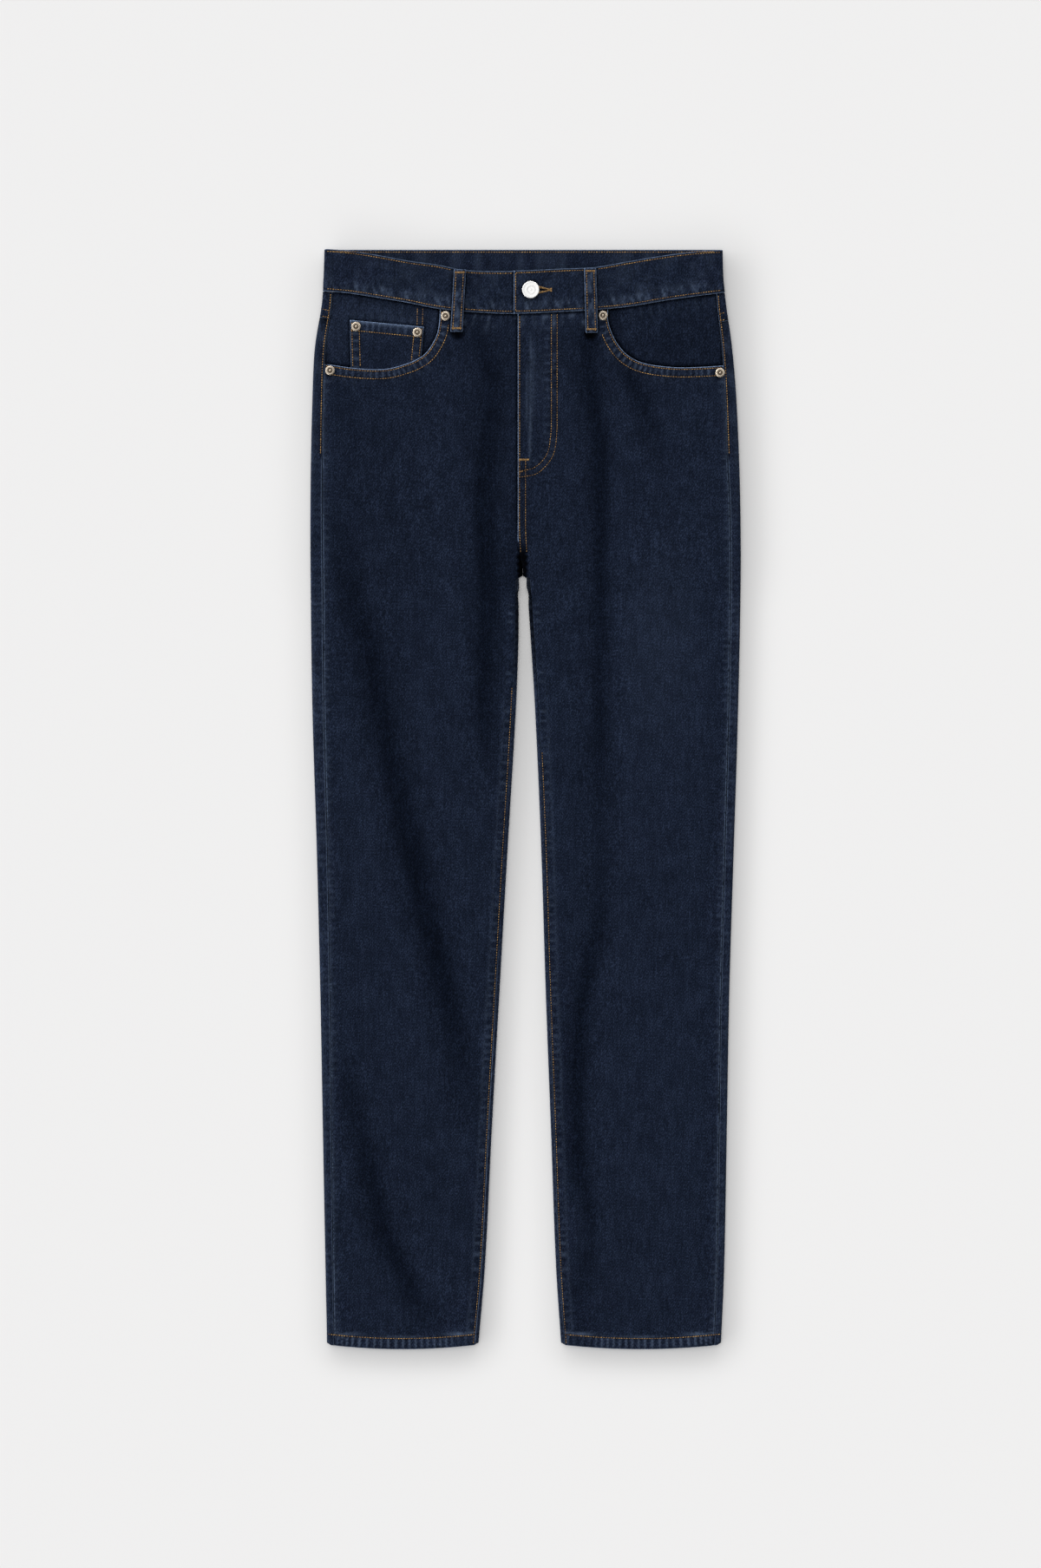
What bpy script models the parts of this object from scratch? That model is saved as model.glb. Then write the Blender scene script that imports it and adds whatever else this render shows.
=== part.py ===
"""Straight-leg denim jeans, fastened and laid flat on their back, front up.

The wearer's right lies at -X, the waist at +Y and the front faces +Z. The origin is
under the middle of the garment, on the surface it lies on. Sizes below are in
millimetres, heights along the garment are measured up from the lowest point of the
hems, and metres appear only where a point is placed.
"""

import math
from collections import namedtuple

import bmesh
import bpy
from mathutils import Vector
from mathutils.geometry import delaunay_2d_cdt

MM = 0.001
LENGTH = 1090.0
MIDDLE_X = -2.6
CROTCH = 764.5
SIGN = {"right": -1, "left": 1}

# Cloth and the room that the stacked pieces leave each other
DENIM = 1.2
HEM_WALL = 2.4
HEM_DEPTH = 11.0
SEAM_GAP = 0.3
LAYER = DENIM + SEAM_GAP

# How thick the laid garment is, from the face below to the face above
FULL = 5.9
LEAST = 3.4
SIDE_RADIUS = 2.7
HEM_RADIUS = 2.8
BAND_SIDE_RADIUS = 2.5
LIP = 0.9

# Waistband, seen in section
BAND_WALL = 2.4
BACK_BAND_Z = 3.5
SIDE_BAND_Z = 7.3
UNDER_BAND_Z = 6.2
TAB_Z = 8.9
BAND_PROUD = 0.6
BAND_LEVEL = 1069.0
WAIST_GAP = 0.5
BACK_BAND_TOP = 1089.5
BACK_BAND_BOTTOM = 1048.5
TAB_END_X = -11.3
UNDER_END_X = 25.0

# Fly
FLY_EDGE_X = -7.3
UNDER_EDGE_X = -1.5
FLY_FOOT = 868.0
FLY_LIFT = 1.5
SLIDER_LIFT = 2.7
SLIDER_WALL = 0.9
OVERLAP = 22.0

# Back pockets, belt loops and metal trim
POCKET_WIDTH = 150.0
POCKET_DEPTH = 160.0
POCKET_TOP = 950.0
POCKET_CENTRE = 104.0
LOOP_WIDTH = 12.0
LOOP_WALL = 2.0
BUTTON_X = 5.4
BUTTON_HEIGHT = 1049.6
BUTTON_RADIUS = 8.6
SHANK_RADIUS = 4.0
TACK_RADIUS = 1.25
RIVET_RADIUS = 4.75

Edge = namedtuple("Edge", "height right left")
Band = namedtuple("Band", "x top bottom")
Place = namedtuple("Place", "x height")
Fold = namedtuple("Fold", "name half_width depth path")

# Outer edge of the laid garment on each side
SILHOUETTE = (
    Edge(0, -196.5, 193.9),
    Edge(82, -198.2, 197.4),
    Edge(219, -200.8, 200.0),
    Edge(357, -203.4, 202.5),
    Edge(494, -206.8, 206.8),
    Edge(632, -211.1, 211.1),
    Edge(763, -212.9, 213.7),
    Edge(856, -212.9, 212.9),
    Edge(942, -211.1, 209.4),
    Edge(993, -208.6, 205.1),
    Edge(1036, -201.7, 199.1),
    Edge(1062, -200.0, 196.5),
    Edge(1090, -199.1, 195.7),
)
# Inner edge of each leg, from the hem up to the crotch
INSEAM = (
    Edge(0, -47.0, 36.0),
    Edge(82, -40.0, 30.5),
    Edge(219, -33.1, 25.4),
    Edge(357, -25.4, 20.2),
    Edge(494, -17.6, 15.9),
    Edge(632, -9.4, 9.9),
    Edge(701, -6.8, 5.6),
    Edge(765, -6.5, 1.3),
)
# How far the outseam lies in from the outer edge, because the back wraps round it
OUTSEAM_INSET = (
    Edge(0, 7.0, 6.7),
    Edge(735, 12.3, 9.7),
    Edge(820, 12.0, 10.2),
    Edge(890, 11.4, 11.6),
    Edge(958, 10.8, 10.7),
    Edge(1024, 10.3, 9.4),
    Edge(1048, 9.7, 8.4),
)
# Upper and lower edge of the waistband across the front
FRONT_BAND = (
    Band(-198.5, 1090.0, 1048.6),
    Band(-175, 1088.1, 1046.6),
    Band(-146, 1083.8, 1042.2),
    Band(-116, 1078.3, 1037.2),
    Band(-88, 1074.5, 1031.6),
    Band(-58, 1069.0, 1028.3),
    Band(-12, 1068.2, 1026.2),
    Band(35, 1070.2, 1027.8),
    Band(70, 1071.9, 1029.9),
    Band(103, 1077.7, 1033.4),
    Band(143, 1084.2, 1040.2),
    Band(178, 1088.1, 1044.9),
    Band(196, 1088.9, 1047.1),
)
# Curved pocket mouths, with the open side to the left of the way they run
MOUTH = {
    "right": (
        Place(-198.4, 976.6), Place(-170, 972.4), Place(-141, 971.3), Place(-121, 975.6),
        Place(-106.6, 981.5), Place(-96.8, 989.3), Place(-87.9, 1004.7),
        Place(-85.2, 1018), Place(-84.5, 1031),
    ),
    "left": (
        Place(82, 1031), Place(82.4, 1017.6), Place(88.8, 1000.7), Place(100.6, 985.9),
        Place(118.3, 977.1), Place(148, 973.1), Place(177.6, 973.6), Place(197.3, 975),
    ),
}
# The largest soft troughs in the front, each along its own path
FOLDS = (
    Fold("right_rise", 17, 2.1, (Place(-49, 1012), Place(-39, 804), Place(-37, 560))),
    Fold("right_thigh", 20, 1.9, (
        Place(-181, 821), Place(-151, 675), Place(-121, 537), Place(-91, 417),
        Place(-65, 314), Place(-58, 236),
    )),
    Fold("right_shin", 17, 1.8, (
        Place(-172, 279), Place(-151, 185), Place(-121, 99), Place(-84, 36),
    )),
    Fold("left_rise", 18, 2.1, (
        Place(60, 985), Place(68, 907), Place(71, 778), Place(74, 560),
    )),
    Fold("left_knee", 16, 1.2, (Place(74, 540), Place(73, 440))),
    Fold("left_shin", 17, 1.8, (
        Place(73, 408), Place(60, 348), Place(50, 271), Place(54, 185), Place(71, 133),
    )),
    Fold("left_ankle", 13, 1.4, (Place(50, 64), Place(62, 34))),
    Fold("left_hip", 15, 1.3, (Place(98, 966), Place(116, 937), Place(135, 903))),
)
COIN_POCKET = (
    Place(-173.8, 1020), Place(-172.6, 964.5), Place(-140, 963.4), Place(-120, 966.5),
    Place(-104.2, 974), Place(-100.3, 1013.2),
)
FACING_UNDER = 12.0
COIN_ZONE = (-192.0, -176.0, -98.0, -84.0)
RIVETS = {
    "rivet_coin_outer": ("coin", Place(-167.6, 1013.4)),
    "rivet_coin_inner": ("coin", Place(-106.9, 1007.7)),
    "rivet_right_front": ("right", Place(-78.9, 1024.0)),
    "rivet_right_side": ("right", Place(-193.4, 970.0)),
    "rivet_left_front": ("left", Place(77.0, 1024.2)),
    "rivet_left_side": ("left", Place(193.2, 967.8)),
}
FRONT_LOOPS = {
    "belt_loop_front_right": ("right", Place(-64.7, 1069.8), Place(-68.1, 1008.2)),
    "belt_loop_front_left": ("left", Place(64.2, 1071.0), Place(65.9, 1007.2)),
}
BACK_LOOPS = {
    "belt_loop_back_right": -118.0,
    "belt_loop_back_centre": MIDDLE_X,
    "belt_loop_back_left": 113.0,
}


def ease(start, end, value):
    """0 at start and before, 1 at end and past it, softly between."""
    t = min(max((value - start) / (end - start), 0.0), 1.0)
    return t * t * (3 - 2 * t)


def mix(first, second, share):
    return first + (second - first) * share


def read(table, column, at):
    """A column of a table at a place between its rows, on a smooth curve."""
    keys = [row[0] for row in table]
    values = [getattr(row, column) for row in table]
    at = min(max(at, keys[0]), keys[-1])
    i = max(k for k in range(len(keys) - 1) if keys[k] <= at)
    slopes = []
    for k in (i, i + 1):
        low = max(k - 1, 0)
        high = min(k + 1, len(keys) - 1)
        slopes.append((values[high] - values[low]) / (keys[high] - keys[low]))
    span = keys[i + 1] - keys[i]
    t = (at - keys[i]) / span
    return (
        values[i] * (1 + 2 * t) * (1 - t) ** 2
        + values[i + 1] * t * t * (3 - 2 * t)
        + slopes[0] * span * t * (1 - t) ** 2
        + slopes[1] * span * t * t * (t - 1)
    )


def smooth_path(places, parts):
    """More places on a smooth curve through the given ones."""
    points = [Vector(place) for place in places]
    ends = [points[0] * 2 - points[1]] + points + [points[-1] * 2 - points[-2]]
    curve = []
    for a, b, c, d in zip(ends, ends[1:], ends[2:], ends[3:]):
        for k in range(parts):
            t = k / parts
            curve.append(
                0.5 * (
                    2 * b + (c - a) * t + (2 * a - 5 * b + 4 * c - d) * t * t
                    + (3 * b - a - 3 * c + d) * t ** 3
                )
            )
    return curve + [points[-1]]


def distance(path, x, height):
    """(distance to the path, positive on its left; share of the path passed there)."""
    here = Vector((x, height))
    best = (1e9, 1, 0)
    for k, (a, b) in enumerate(zip(path, path[1:])):
        run = b - a
        t = min(max((here - a).dot(run) / run.length_squared, 0), 1)
        off = here - (a + run * t)
        if off.length < best[0]:
            side = 1 if run.x * off.y - run.y * off.x > 0 else -1
            best = (off.length, side, (k + t) / (len(path) - 1))
    return best[0] * best[1], best[2]


MOUTH_PATH = {side: smooth_path(places, 3) for side, places in MOUTH.items()}
FOLD_PATH = {fold.name: smooth_path(fold.path, 4) for fold in FOLDS}


def trough(x, height):
    """How far the folds press the front down at a place."""
    total = 0
    for fold in FOLDS:
        off, share = distance(FOLD_PATH[fold.name], x, height)
        ends = ease(0, 0.18, share) * ease(1, 0.82, share) * 0.6 + 0.4
        total += fold.depth * ends * math.exp(-((off / fold.half_width) ** 2))
    return total


def lift(height):
    """How far the back's outer face lies above the surface: pockets and loops are under it."""
    over_pockets = 1.5 * ease(740, 786, height)
    return over_pockets + 1.4 * ease(955, 1046, height)


def side_radius(height):
    """Outer radius of the fold down the garment's sides."""
    radius = mix(HEM_RADIUS, SIDE_RADIUS, ease(14, 40, height))
    return mix(radius, BAND_SIDE_RADIUS, ease(985, 1040, height))


def outer_x(side, height):
    return read(SILHOUETTE, side, height)


def outseam_x(side, height):
    return outer_x(side, height) - SIGN[side] * read(OUTSEAM_INSET, side, height)


def rise_thickness(height):
    """Thickness at the right front's middle edge, under the fly."""
    return mix(3.2, 4.2, ease(CROTCH, 1010, height))


def fly_lift(height):
    """How far the left front stands over the right front's edge."""
    return mix(FLY_LIFT, SLIDER_LIFT, ease(950, 982, height))


def middle_thickness(side, height):
    """Thickness at a front panel's middle edge."""
    extra = fly_lift(height) if side == "left" else 0
    return rise_thickness(max(height, CROTCH)) + extra


def inner_radius(side, height):
    """Outer radius of the fold down the inside of a leg."""
    at_crotch = middle_thickness(side, CROTCH) / 2
    return mix(at_crotch, side_radius(height), ease(CROTCH, 690, height))


def inseam_x(side, height):
    """Where the front panel ends and the back begins to turn under, inside the leg."""
    return read(INSEAM, side, height) + SIGN[side] * (inner_radius(side, height) + LIP)


def band_z(side, x):
    """Middle of the waistband's wall across the front."""
    if side == "right":
        return mix(UNDER_BAND_Z, SIDE_BAND_Z, ease(30, 130, -x))
    return mix(TAB_Z, SIDE_BAND_Z, ease(45, 140, x))


def band_bend(side):
    """Where the band begins to turn round the side."""
    radius = (SIDE_BAND_Z - BACK_BAND_Z) / 2
    return outer_x(side, BAND_LEVEL) - SIGN[side] * (radius + BAND_WALL / 2)


def band_face(side, x):
    return band_z(side, x) + BAND_WALL / 2


def band_bottom(x):
    return read(FRONT_BAND, "bottom", x)


def thickness(side, x, height):
    """Thickness of the laid garment at a place, from outer face to outer face."""
    sign = SIGN[side]
    body = max(FULL - trough(x, height), LEAST)
    if height > 955 and abs(x) > 62:
        body = max(body, 4.7)
    body = mix(2 * HEM_RADIUS, body, ease(14, 46, height))
    flap = OVERLAP if side == "left" else 0
    if height > CROTCH:
        edge = middle_thickness(side, height)
        reach = sign * (x - MIDDLE_X)
        width = 42
    else:
        edge = 2 * inner_radius(side, height)
        reach = sign * (x - inseam_x(side, height))
        width = mix(42, 16, ease(CROTCH, 660, height))
        flap *= ease(700, CROTCH, height)
    body = mix(edge, body, ease(flap, flap + width, reach))
    at_band = band_face(side, x) - BAND_PROUD - lift(height)
    body = mix(body, at_band, ease(38, 3, band_bottom(x) - height))
    from_side = sign * (outseam_x(side, height) - x)
    return mix(2 * side_radius(height), body, ease(2, 24, from_side))


def front_z(side, x, height):
    """Outer face of the front."""
    return lift(height) + thickness(side, x, height)


def coin_share(x):
    """1 across the coin pocket's width, 0 away from it."""
    start, full, full_end, end = COIN_ZONE
    return ease(start, full, x) * ease(end, full_end, x)


def facing_drop(side, x, height):
    """How far the pocket's facing lies under the level of the front."""
    above_mouth, _ = distance(MOUTH_PATH[side], x, height)
    near = ease(28, 4, above_mouth)
    plain = mix(0.2, LAYER, near)
    under_coin = LAYER + LAYER * near
    share = coin_share(x) if side == "right" else 0
    return mix(plain, under_coin, share)


def facing_z(side, x, height):
    return front_z(side, x, height) - facing_drop(side, x, height)


def coin_z(x, height):
    return facing_z("right", x, height) + LAYER


def yoke_height(side, x):
    """Height of the seam between yoke and back panel, a shallow V across the back."""
    share = min(abs(x - MIDDLE_X) / 205, 1)
    top = {"right": 1023.5, "left": 1019.5}[side]
    return mix(976, top, share)


def hem_height(side, x):
    """The hems dip in their middle and rise a little to both corners."""
    low = outer_x(side, 0)
    high = read(INSEAM, side, 0)
    across = (x - (low + high) / 2) / ((high - low) / 2)
    return 4.5 * across * across


def at(x, height, z):
    """A place in the frame, in metres."""
    return Vector((x, height - LENGTH / 2, z)) * MM


def material(name, colour, roughness, metallic=0.0):
    found = bpy.data.materials.get(name)
    if found:
        return found
    made = bpy.data.materials.new(name)
    made.use_nodes = True
    shader = made.node_tree.nodes["Principled BSDF"]
    shader.inputs["Base Color"].default_value = (*colour, 1)
    shader.inputs["Roughness"].default_value = roughness
    shader.inputs["Metallic"].default_value = metallic
    return made


def denim():
    return material("dark_denim", (0.017, 0.022, 0.042), 0.9)


def brass():
    return material("antique_nickel", (0.42, 0.38, 0.32), 0.35, 1.0)


def steel():
    return material("bright_steel", (0.75, 0.75, 0.74), 0.25, 1.0)


def place(name, mesh, finish, collection):
    made = bpy.data.objects.new(name, mesh)
    mesh.materials.append(finish)
    collection.objects.link(made)
    return made


def wall(made, thickness, inward=True, group=None):
    """Give an open face its cloth thickness."""
    solid = made.modifiers.new("wall", "SOLIDIFY")
    solid.thickness = thickness * MM
    solid.offset = -1 if inward else 0
    solid.use_even_offset = True
    if group:
        solid.vertex_group = group
    return made


def mesh_from(bm, name):
    mesh = bpy.data.meshes.new(name)
    bm.to_mesh(mesh)
    bm.free()
    return mesh


def hem_group(made, side):
    """Weight 1 in the turned hem, half of it in the single cloth above."""
    group = made.vertex_groups.new(name="wall")
    for vertex in made.data.vertices:
        x = vertex.co.x / MM
        height = vertex.co.y / MM + LENGTH / 2
        above = height - hem_height(side, x)
        share = mix(1, DENIM / HEM_WALL, ease(HEM_DEPTH, HEM_DEPTH + 2, above))
        group.add([vertex.index], share, "REPLACE")


def flat_cut(name, outline, inside, height_of, finish, collection):
    """A cut piece of cloth lying face up: its outline, filled with points inside it."""
    points = list(outline) + list(inside)
    loop = list(range(len(outline)))
    verts, _, faces, *_ = delaunay_2d_cdt(points, [], [loop], 1, 1e-6)
    bm = bmesh.new()
    made = [bm.verts.new(at(v.x, v.y, height_of(v.x, v.y))) for v in verts]
    for face in faces:
        bm.faces.new([made[k] for k in face])
    return place(name, mesh_from(bm, name), finish, collection)


def inside_points(outline, step_x, step_height, clear, extra_rows=()):
    """A staggered lattice of points inside an outline, clear of its edge."""
    xs = [p.x for p in outline]
    heights = [p.y for p in outline]
    loop = list(outline) + [outline[0]]

    def within(x, height):
        crossings = 0
        for a, b in zip(loop, loop[1:]):
            if (a.y > height) != (b.y > height):
                if x < a.x + (b.x - a.x) * (height - a.y) / (b.y - a.y):
                    crossings += 1
        return crossings % 2 == 1

    found = []
    rows = math.floor((max(heights) - min(heights)) / step_height)
    lattice = [min(heights) + step_height * (k + 0.5) for k in range(rows + 1)]
    lattice = [h for h in lattice if all(abs(h - e) > clear for e in extra_rows)]
    for row, height in enumerate(sorted(lattice + list(extra_rows))):
        count = math.floor((max(xs) - min(xs)) / step_x)
        for k in range(count + 1):
            x = min(xs) + step_x * (k + 0.25 + 0.5 * (row % 2))
            away = clear if height not in extra_rows else 1.5
            if within(x, height) and abs(distance(loop, x, height)[0]) > away:
                found.append(Vector((x, height)))
    return found


def stepped(start, end, step):
    """Even values from start to end, about a step apart."""
    count = max(round(abs(end - start) / step), 1)
    return [mix(start, end, k / count) for k in range(count + 1)]


def tidy_outline(points):
    """The outline with no point twice."""
    kept = []
    for point in points:
        if not kept or (point - kept[-1]).length > 0.2:
            kept.append(point)
    return kept[:-1] if (kept[0] - kept[-1]).length < 0.2 else kept


def leg_outline(side, clear):
    """Outline of a front panel: hem, inseam, rise, waist seam, pocket mouth, outseam."""
    sign = SIGN[side]
    edge_low = hem_height(side, outseam_x(side, 0))
    outseam_foot = outseam_x(side, 0) - sign * clear
    inseam_foot = inseam_x(side, 0) + sign * 2 * clear
    hem = [Vector((x, hem_height(side, x))) for x in stepped(outseam_foot, inseam_foot, 24)]
    low = hem_height(side, inseam_foot)
    inseam = [
        Vector((inseam_x(side, h) + sign * 2 * clear, h))
        for h in [low, low + HEM_DEPTH, low + HEM_DEPTH + 2] + stepped(50, 700, 43)
    ]
    inseam += [
        Vector((inseam_x(side, h) + sign * 2 * clear, h)) for h in (720, 740, 752, CROTCH)
    ]
    edge_x = {"right": UNDER_EDGE_X, "left": FLY_EDGE_X}[side]
    beside = MIDDLE_X + sign * clear
    rise = [Vector((beside, CROTCH + 2.5)), Vector((beside, CROTCH + 9))]
    rise += [Vector((mix(beside, edge_x, 0.6), 788)), Vector((edge_x, 802))]
    top = band_bottom(edge_x) - SEAM_GAP
    rise += [Vector((edge_x, h)) for h in stepped(840, top, 42)]
    mouth = list(MOUTH_PATH[side])
    if side == "right":
        mouth.reverse()
    mouth_top = mouth[0].x
    waist = [
        Vector((x, band_bottom(x) - SEAM_GAP)) for x in stepped(edge_x, mouth_top, 13)[1:]
    ]
    mouth = [p for p in mouth if p.y < waist[-1].y - 2]
    corner = outseam_x(side, 976) - sign * clear
    mouth = [p for p in mouth if sign * (corner - p.x) > 2]
    corner_height = 976.0 if side == "right" else 974.8
    outseam = [
        Vector((outseam_x(side, h) - sign * clear, h))
        for h in [corner_height] + stepped(940, 50, 43) + [edge_low + 13, edge_low + 11]
    ]
    return tidy_outline(hem + inseam + rise + waist + mouth + outseam)


def front_panel(side, collection):
    outline = leg_outline(side, SEAM_GAP / 2)
    inside = inside_points(outline, 12.5, 27, 6, (HEM_DEPTH + 1, HEM_DEPTH + 4.5))
    made = flat_cut(
        f"front_panel_{side}", outline, inside,
        lambda x, h: front_z(side, x, h), denim(), collection,
    )
    hem_group(made, side)
    return wall(made, HEM_WALL, group="wall")


def pocket_facing(side, collection):
    """The denim seen inside the pocket mouth, sewn in at the band and the outseam."""
    sign = SIGN[side]
    mouth = list(MOUTH_PATH[side])
    under = []
    for k, point in enumerate(mouth):
        run = mouth[min(k + 1, len(mouth) - 1)] - mouth[max(k - 1, 0)]
        away = Vector((run.y, -run.x)).normalized()
        under.append(point + away * FACING_UNDER)
    if side == "right":
        under.reverse()
    top_x = under[0].x
    corner = outseam_x(side, BACK_BAND_BOTTOM) - sign * 2 * SEAM_GAP
    waist = [
        Vector((x, band_bottom(x) - SEAM_GAP)) for x in stepped(corner, top_x, 13)
    ]
    under = [p for p in under if p.y < waist[-1].y - 3]
    under = [p for p in under if sign * (outseam_x(side, p.y) - p.x) > 3]
    low = under[-1].y
    outseam = [
        Vector((outseam_x(side, h) - sign * 2 * SEAM_GAP, h)) for h in stepped(low, 1036, 18)
    ]
    outline = tidy_outline(waist + under + outseam)
    inside = inside_points(outline, 11, 11, 4)
    made = flat_cut(
        f"pocket_facing_{side}", outline, inside,
        lambda x, h: facing_z(side, x, h), denim(), collection,
    )
    return wall(made, DENIM)


def coin_pocket(collection):
    outline = []
    corners = list(COIN_POCKET)
    for a, b in zip(corners, corners[1:] + corners[:1]):
        start = Vector(a)
        run = Vector(b) - start
        parts = max(round(run.length / 11), 1)
        outline += [start + run * k / parts for k in range(parts)]
    made = flat_cut(
        "coin_pocket", outline, inside_points(outline, 11, 11, 4), coin_z, denim(), collection
    )
    return wall(made, DENIM)


def strip(name, columns, rows, place_of, finish, collection, flip=False):
    """A grid of cloth whose points are placed by their column and row."""
    bm = bmesh.new()
    bmesh.ops.create_grid(bm, x_segments=columns, y_segments=rows, size=1)
    for vertex in bm.verts:
        column = round((vertex.co.x + 1) / 2 * columns)
        row = round((vertex.co.y + 1) / 2 * rows)
        vertex.co = place_of(column, row)
    if flip:
        bmesh.ops.reverse_faces(bm, faces=bm.faces)
    return place(name, mesh_from(bm, name), finish, collection)


STRIP_PARTS = 1
ARC_PARTS = 5
UNDER_PARTS = 7
INNER_PARTS = 4
UNROLL_START = 736.0


def back_section(side, height):
    """Outer face of the back at a height, as (x, z) from the outseam round under the leg."""
    sign = SIGN[side]
    radius = side_radius(height)
    base = lift(height)
    bend = outer_x(side, height) - sign * radius
    seam = outseam_x(side, height) + sign * SEAM_GAP / 2
    points = [
        (mix(seam, bend, k / STRIP_PARTS), base + 2 * radius) for k in range(STRIP_PARTS)
    ]
    for k in range(ARC_PARTS + 1):
        turn = math.pi * k / ARC_PARTS
        points.append((
            bend + sign * radius * math.sin(turn),
            base + radius * (1 + math.cos(turn)),
        ))
    middle = MIDDLE_X + sign * SEAM_GAP / 2
    last = INNER_PARTS + 1
    if height > CROTCH + 1:
        inner = [
            (mix(middle + sign * 9, middle, k / last), base) for k in range(last + 1)
        ]
    else:
        small = inner_radius(side, height)
        flat_share = ease(UNROLL_START, CROTCH, height)
        turned_start = inseam_x(side, height) - sign * LIP
        flat_start = read(INSEAM, side, height) + sign * (math.pi * small + LIP)
        start = mix(turned_start, flat_start, flat_share)
        full_turn = max(math.pi * (1 - flat_share), 0.01)
        radius_in = math.pi * small / full_turn
        inner = []
        for k in range(last + 1):
            turn = full_turn * min(k / INNER_PARTS, 1)
            lip = LIP if k == last else 0
            inner.append((
                start - sign * (radius_in * math.sin(turn) + lip * math.cos(turn)),
                base + radius_in * (1 - math.cos(turn)) + lip * math.sin(turn),
            ))
    for k in range(1, UNDER_PARTS):
        points.append((mix(bend, inner[0][0], k / UNDER_PARTS), base))
    return points + inner


BACK_COLUMNS = STRIP_PARTS + ARC_PARTS + UNDER_PARTS + INNER_PARTS + 1


def back_rows():
    """Heights of the back panel's rows: close at the hem, the crotch and the hips."""
    rows = [0, HEM_DEPTH, HEM_DEPTH + 2, 40] + stepped(90, 690, 50)
    rows += [720, 736, 744, 750, 755, 760, CROTCH, CROTCH + 2.5, 776, 788]
    return rows + stepped(810, 900, 22)


def on_seam(side, column, height_at):
    """Where a column of the back's section meets a seam whose height changes with x."""
    x = outer_x(side, 1010)
    for _ in range(6):
        height = height_at(x)
        x, z = back_section(side, height)[column]
    return x, height, z


def waist_height(side, column, x):
    """Height of the waist seam along the yoke's columns, from the front strip to the back."""
    turned_share = min(max((column - STRIP_PARTS) / ARC_PARTS, 0), 1)
    front_end = band_bottom(x if column < STRIP_PARTS else band_bend(side))
    return mix(front_end, BACK_BAND_BOTTOM, turned_share) - WAIST_GAP


def back_panel(side, collection):
    """From the outseam on the front, round the side, under the leg and up the inseam."""
    low_rows = back_rows()
    top_rows = 5
    last = low_rows[-1]

    def place_of(column, row):
        if row < len(low_rows):
            height = low_rows[row]
            bow = ease(90, 0, height)
            return at(*on_seam(side, column, lambda x: height + bow * hem_height(side, x)))
        share = (row - len(low_rows) + 1) / top_rows
        return at(*on_seam(
            side, column, lambda x: mix(last, yoke_height(side, x) - SEAM_GAP / 2, share),
        ))

    made = strip(
        f"back_panel_{side}", BACK_COLUMNS, len(low_rows) + top_rows - 1, place_of,
        denim(), collection, flip=side == "right",
    )
    hem_group(made, side)
    return wall(made, HEM_WALL, group="wall")


def yoke(side, collection):
    """The shaped strip between the back panel and the waistband."""
    rows = 4

    def place_of(column, row):
        def height_at(x):
            low = yoke_height(side, x) + SEAM_GAP / 2
            return mix(low, waist_height(side, column, x), row / rows)

        return at(*on_seam(side, column, height_at))

    made = strip(
        f"yoke_{side}", BACK_COLUMNS, rows, place_of, denim(), collection,
        flip=side == "right",
    )
    return wall(made, DENIM)


def band_stations():
    """The waistband's middle line: (x, z, top, bottom) from the tab round to the under end."""
    stations = []
    radius = (SIDE_BAND_Z - BACK_BAND_Z) / 2
    bends = {side: band_bend(side) for side in SIGN}

    def front(side, start, end):
        for x in stepped(start, end, 14):
            top = read(FRONT_BAND, "top", x)
            stations.append((x, band_z(side, x), top, band_bottom(x)))

    def turn(side, angles):
        bend = bends[side]
        for angle in angles:
            share = angle / math.pi
            stations.append((
                bend + SIGN[side] * radius * math.sin(angle),
                BACK_BAND_Z + radius * (1 + math.cos(angle)),
                mix(read(FRONT_BAND, "top", bend), BACK_BAND_TOP, share),
                mix(band_bottom(bend), BACK_BAND_BOTTOM, share),
            ))

    angles = [math.pi * k / ARC_PARTS for k in range(1, ARC_PARTS)]
    front("left", TAB_END_X, bends["left"])
    turn("left", angles)
    for x in stepped(bends["left"], bends["right"], 40):
        stations.append((x, BACK_BAND_Z, BACK_BAND_TOP, BACK_BAND_BOTTOM))
    turn("right", angles[::-1])
    front("right", bends["right"], UNDER_END_X)
    return stations


def waistband(collection, cutters):
    """One folded strip of denim round the waist, its left end over its right end."""
    stations = band_stations()
    rows = 4

    def place_of(column, row):
        x, z, top, bottom = stations[column]
        height = mix(bottom, top, row / rows)
        side = "right" if x < 0 else "left"
        flare = outer_x(side, height) - outer_x(side, BAND_LEVEL)
        return at(x + flare * ease(60, 190, abs(x)), height, z)

    made = strip(
        "waistband", len(stations) - 1, rows, place_of, denim(), collection
    )
    wall(made, BAND_WALL, inward=False)
    cut(made, buttonhole_cutter(cutters))
    cut(made, tack_cutter(cutters))
    return made


def cut(made, cutter):
    boolean = made.modifiers.new("cut", "BOOLEAN")
    boolean.operation = "DIFFERENCE"
    boolean.solver = "EXACT"
    boolean.object = cutter


def as_cutter(made, cutters):
    cutters.objects.link(made)
    made.hide_render = True
    made.display_type = "WIRE"
    return made


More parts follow.
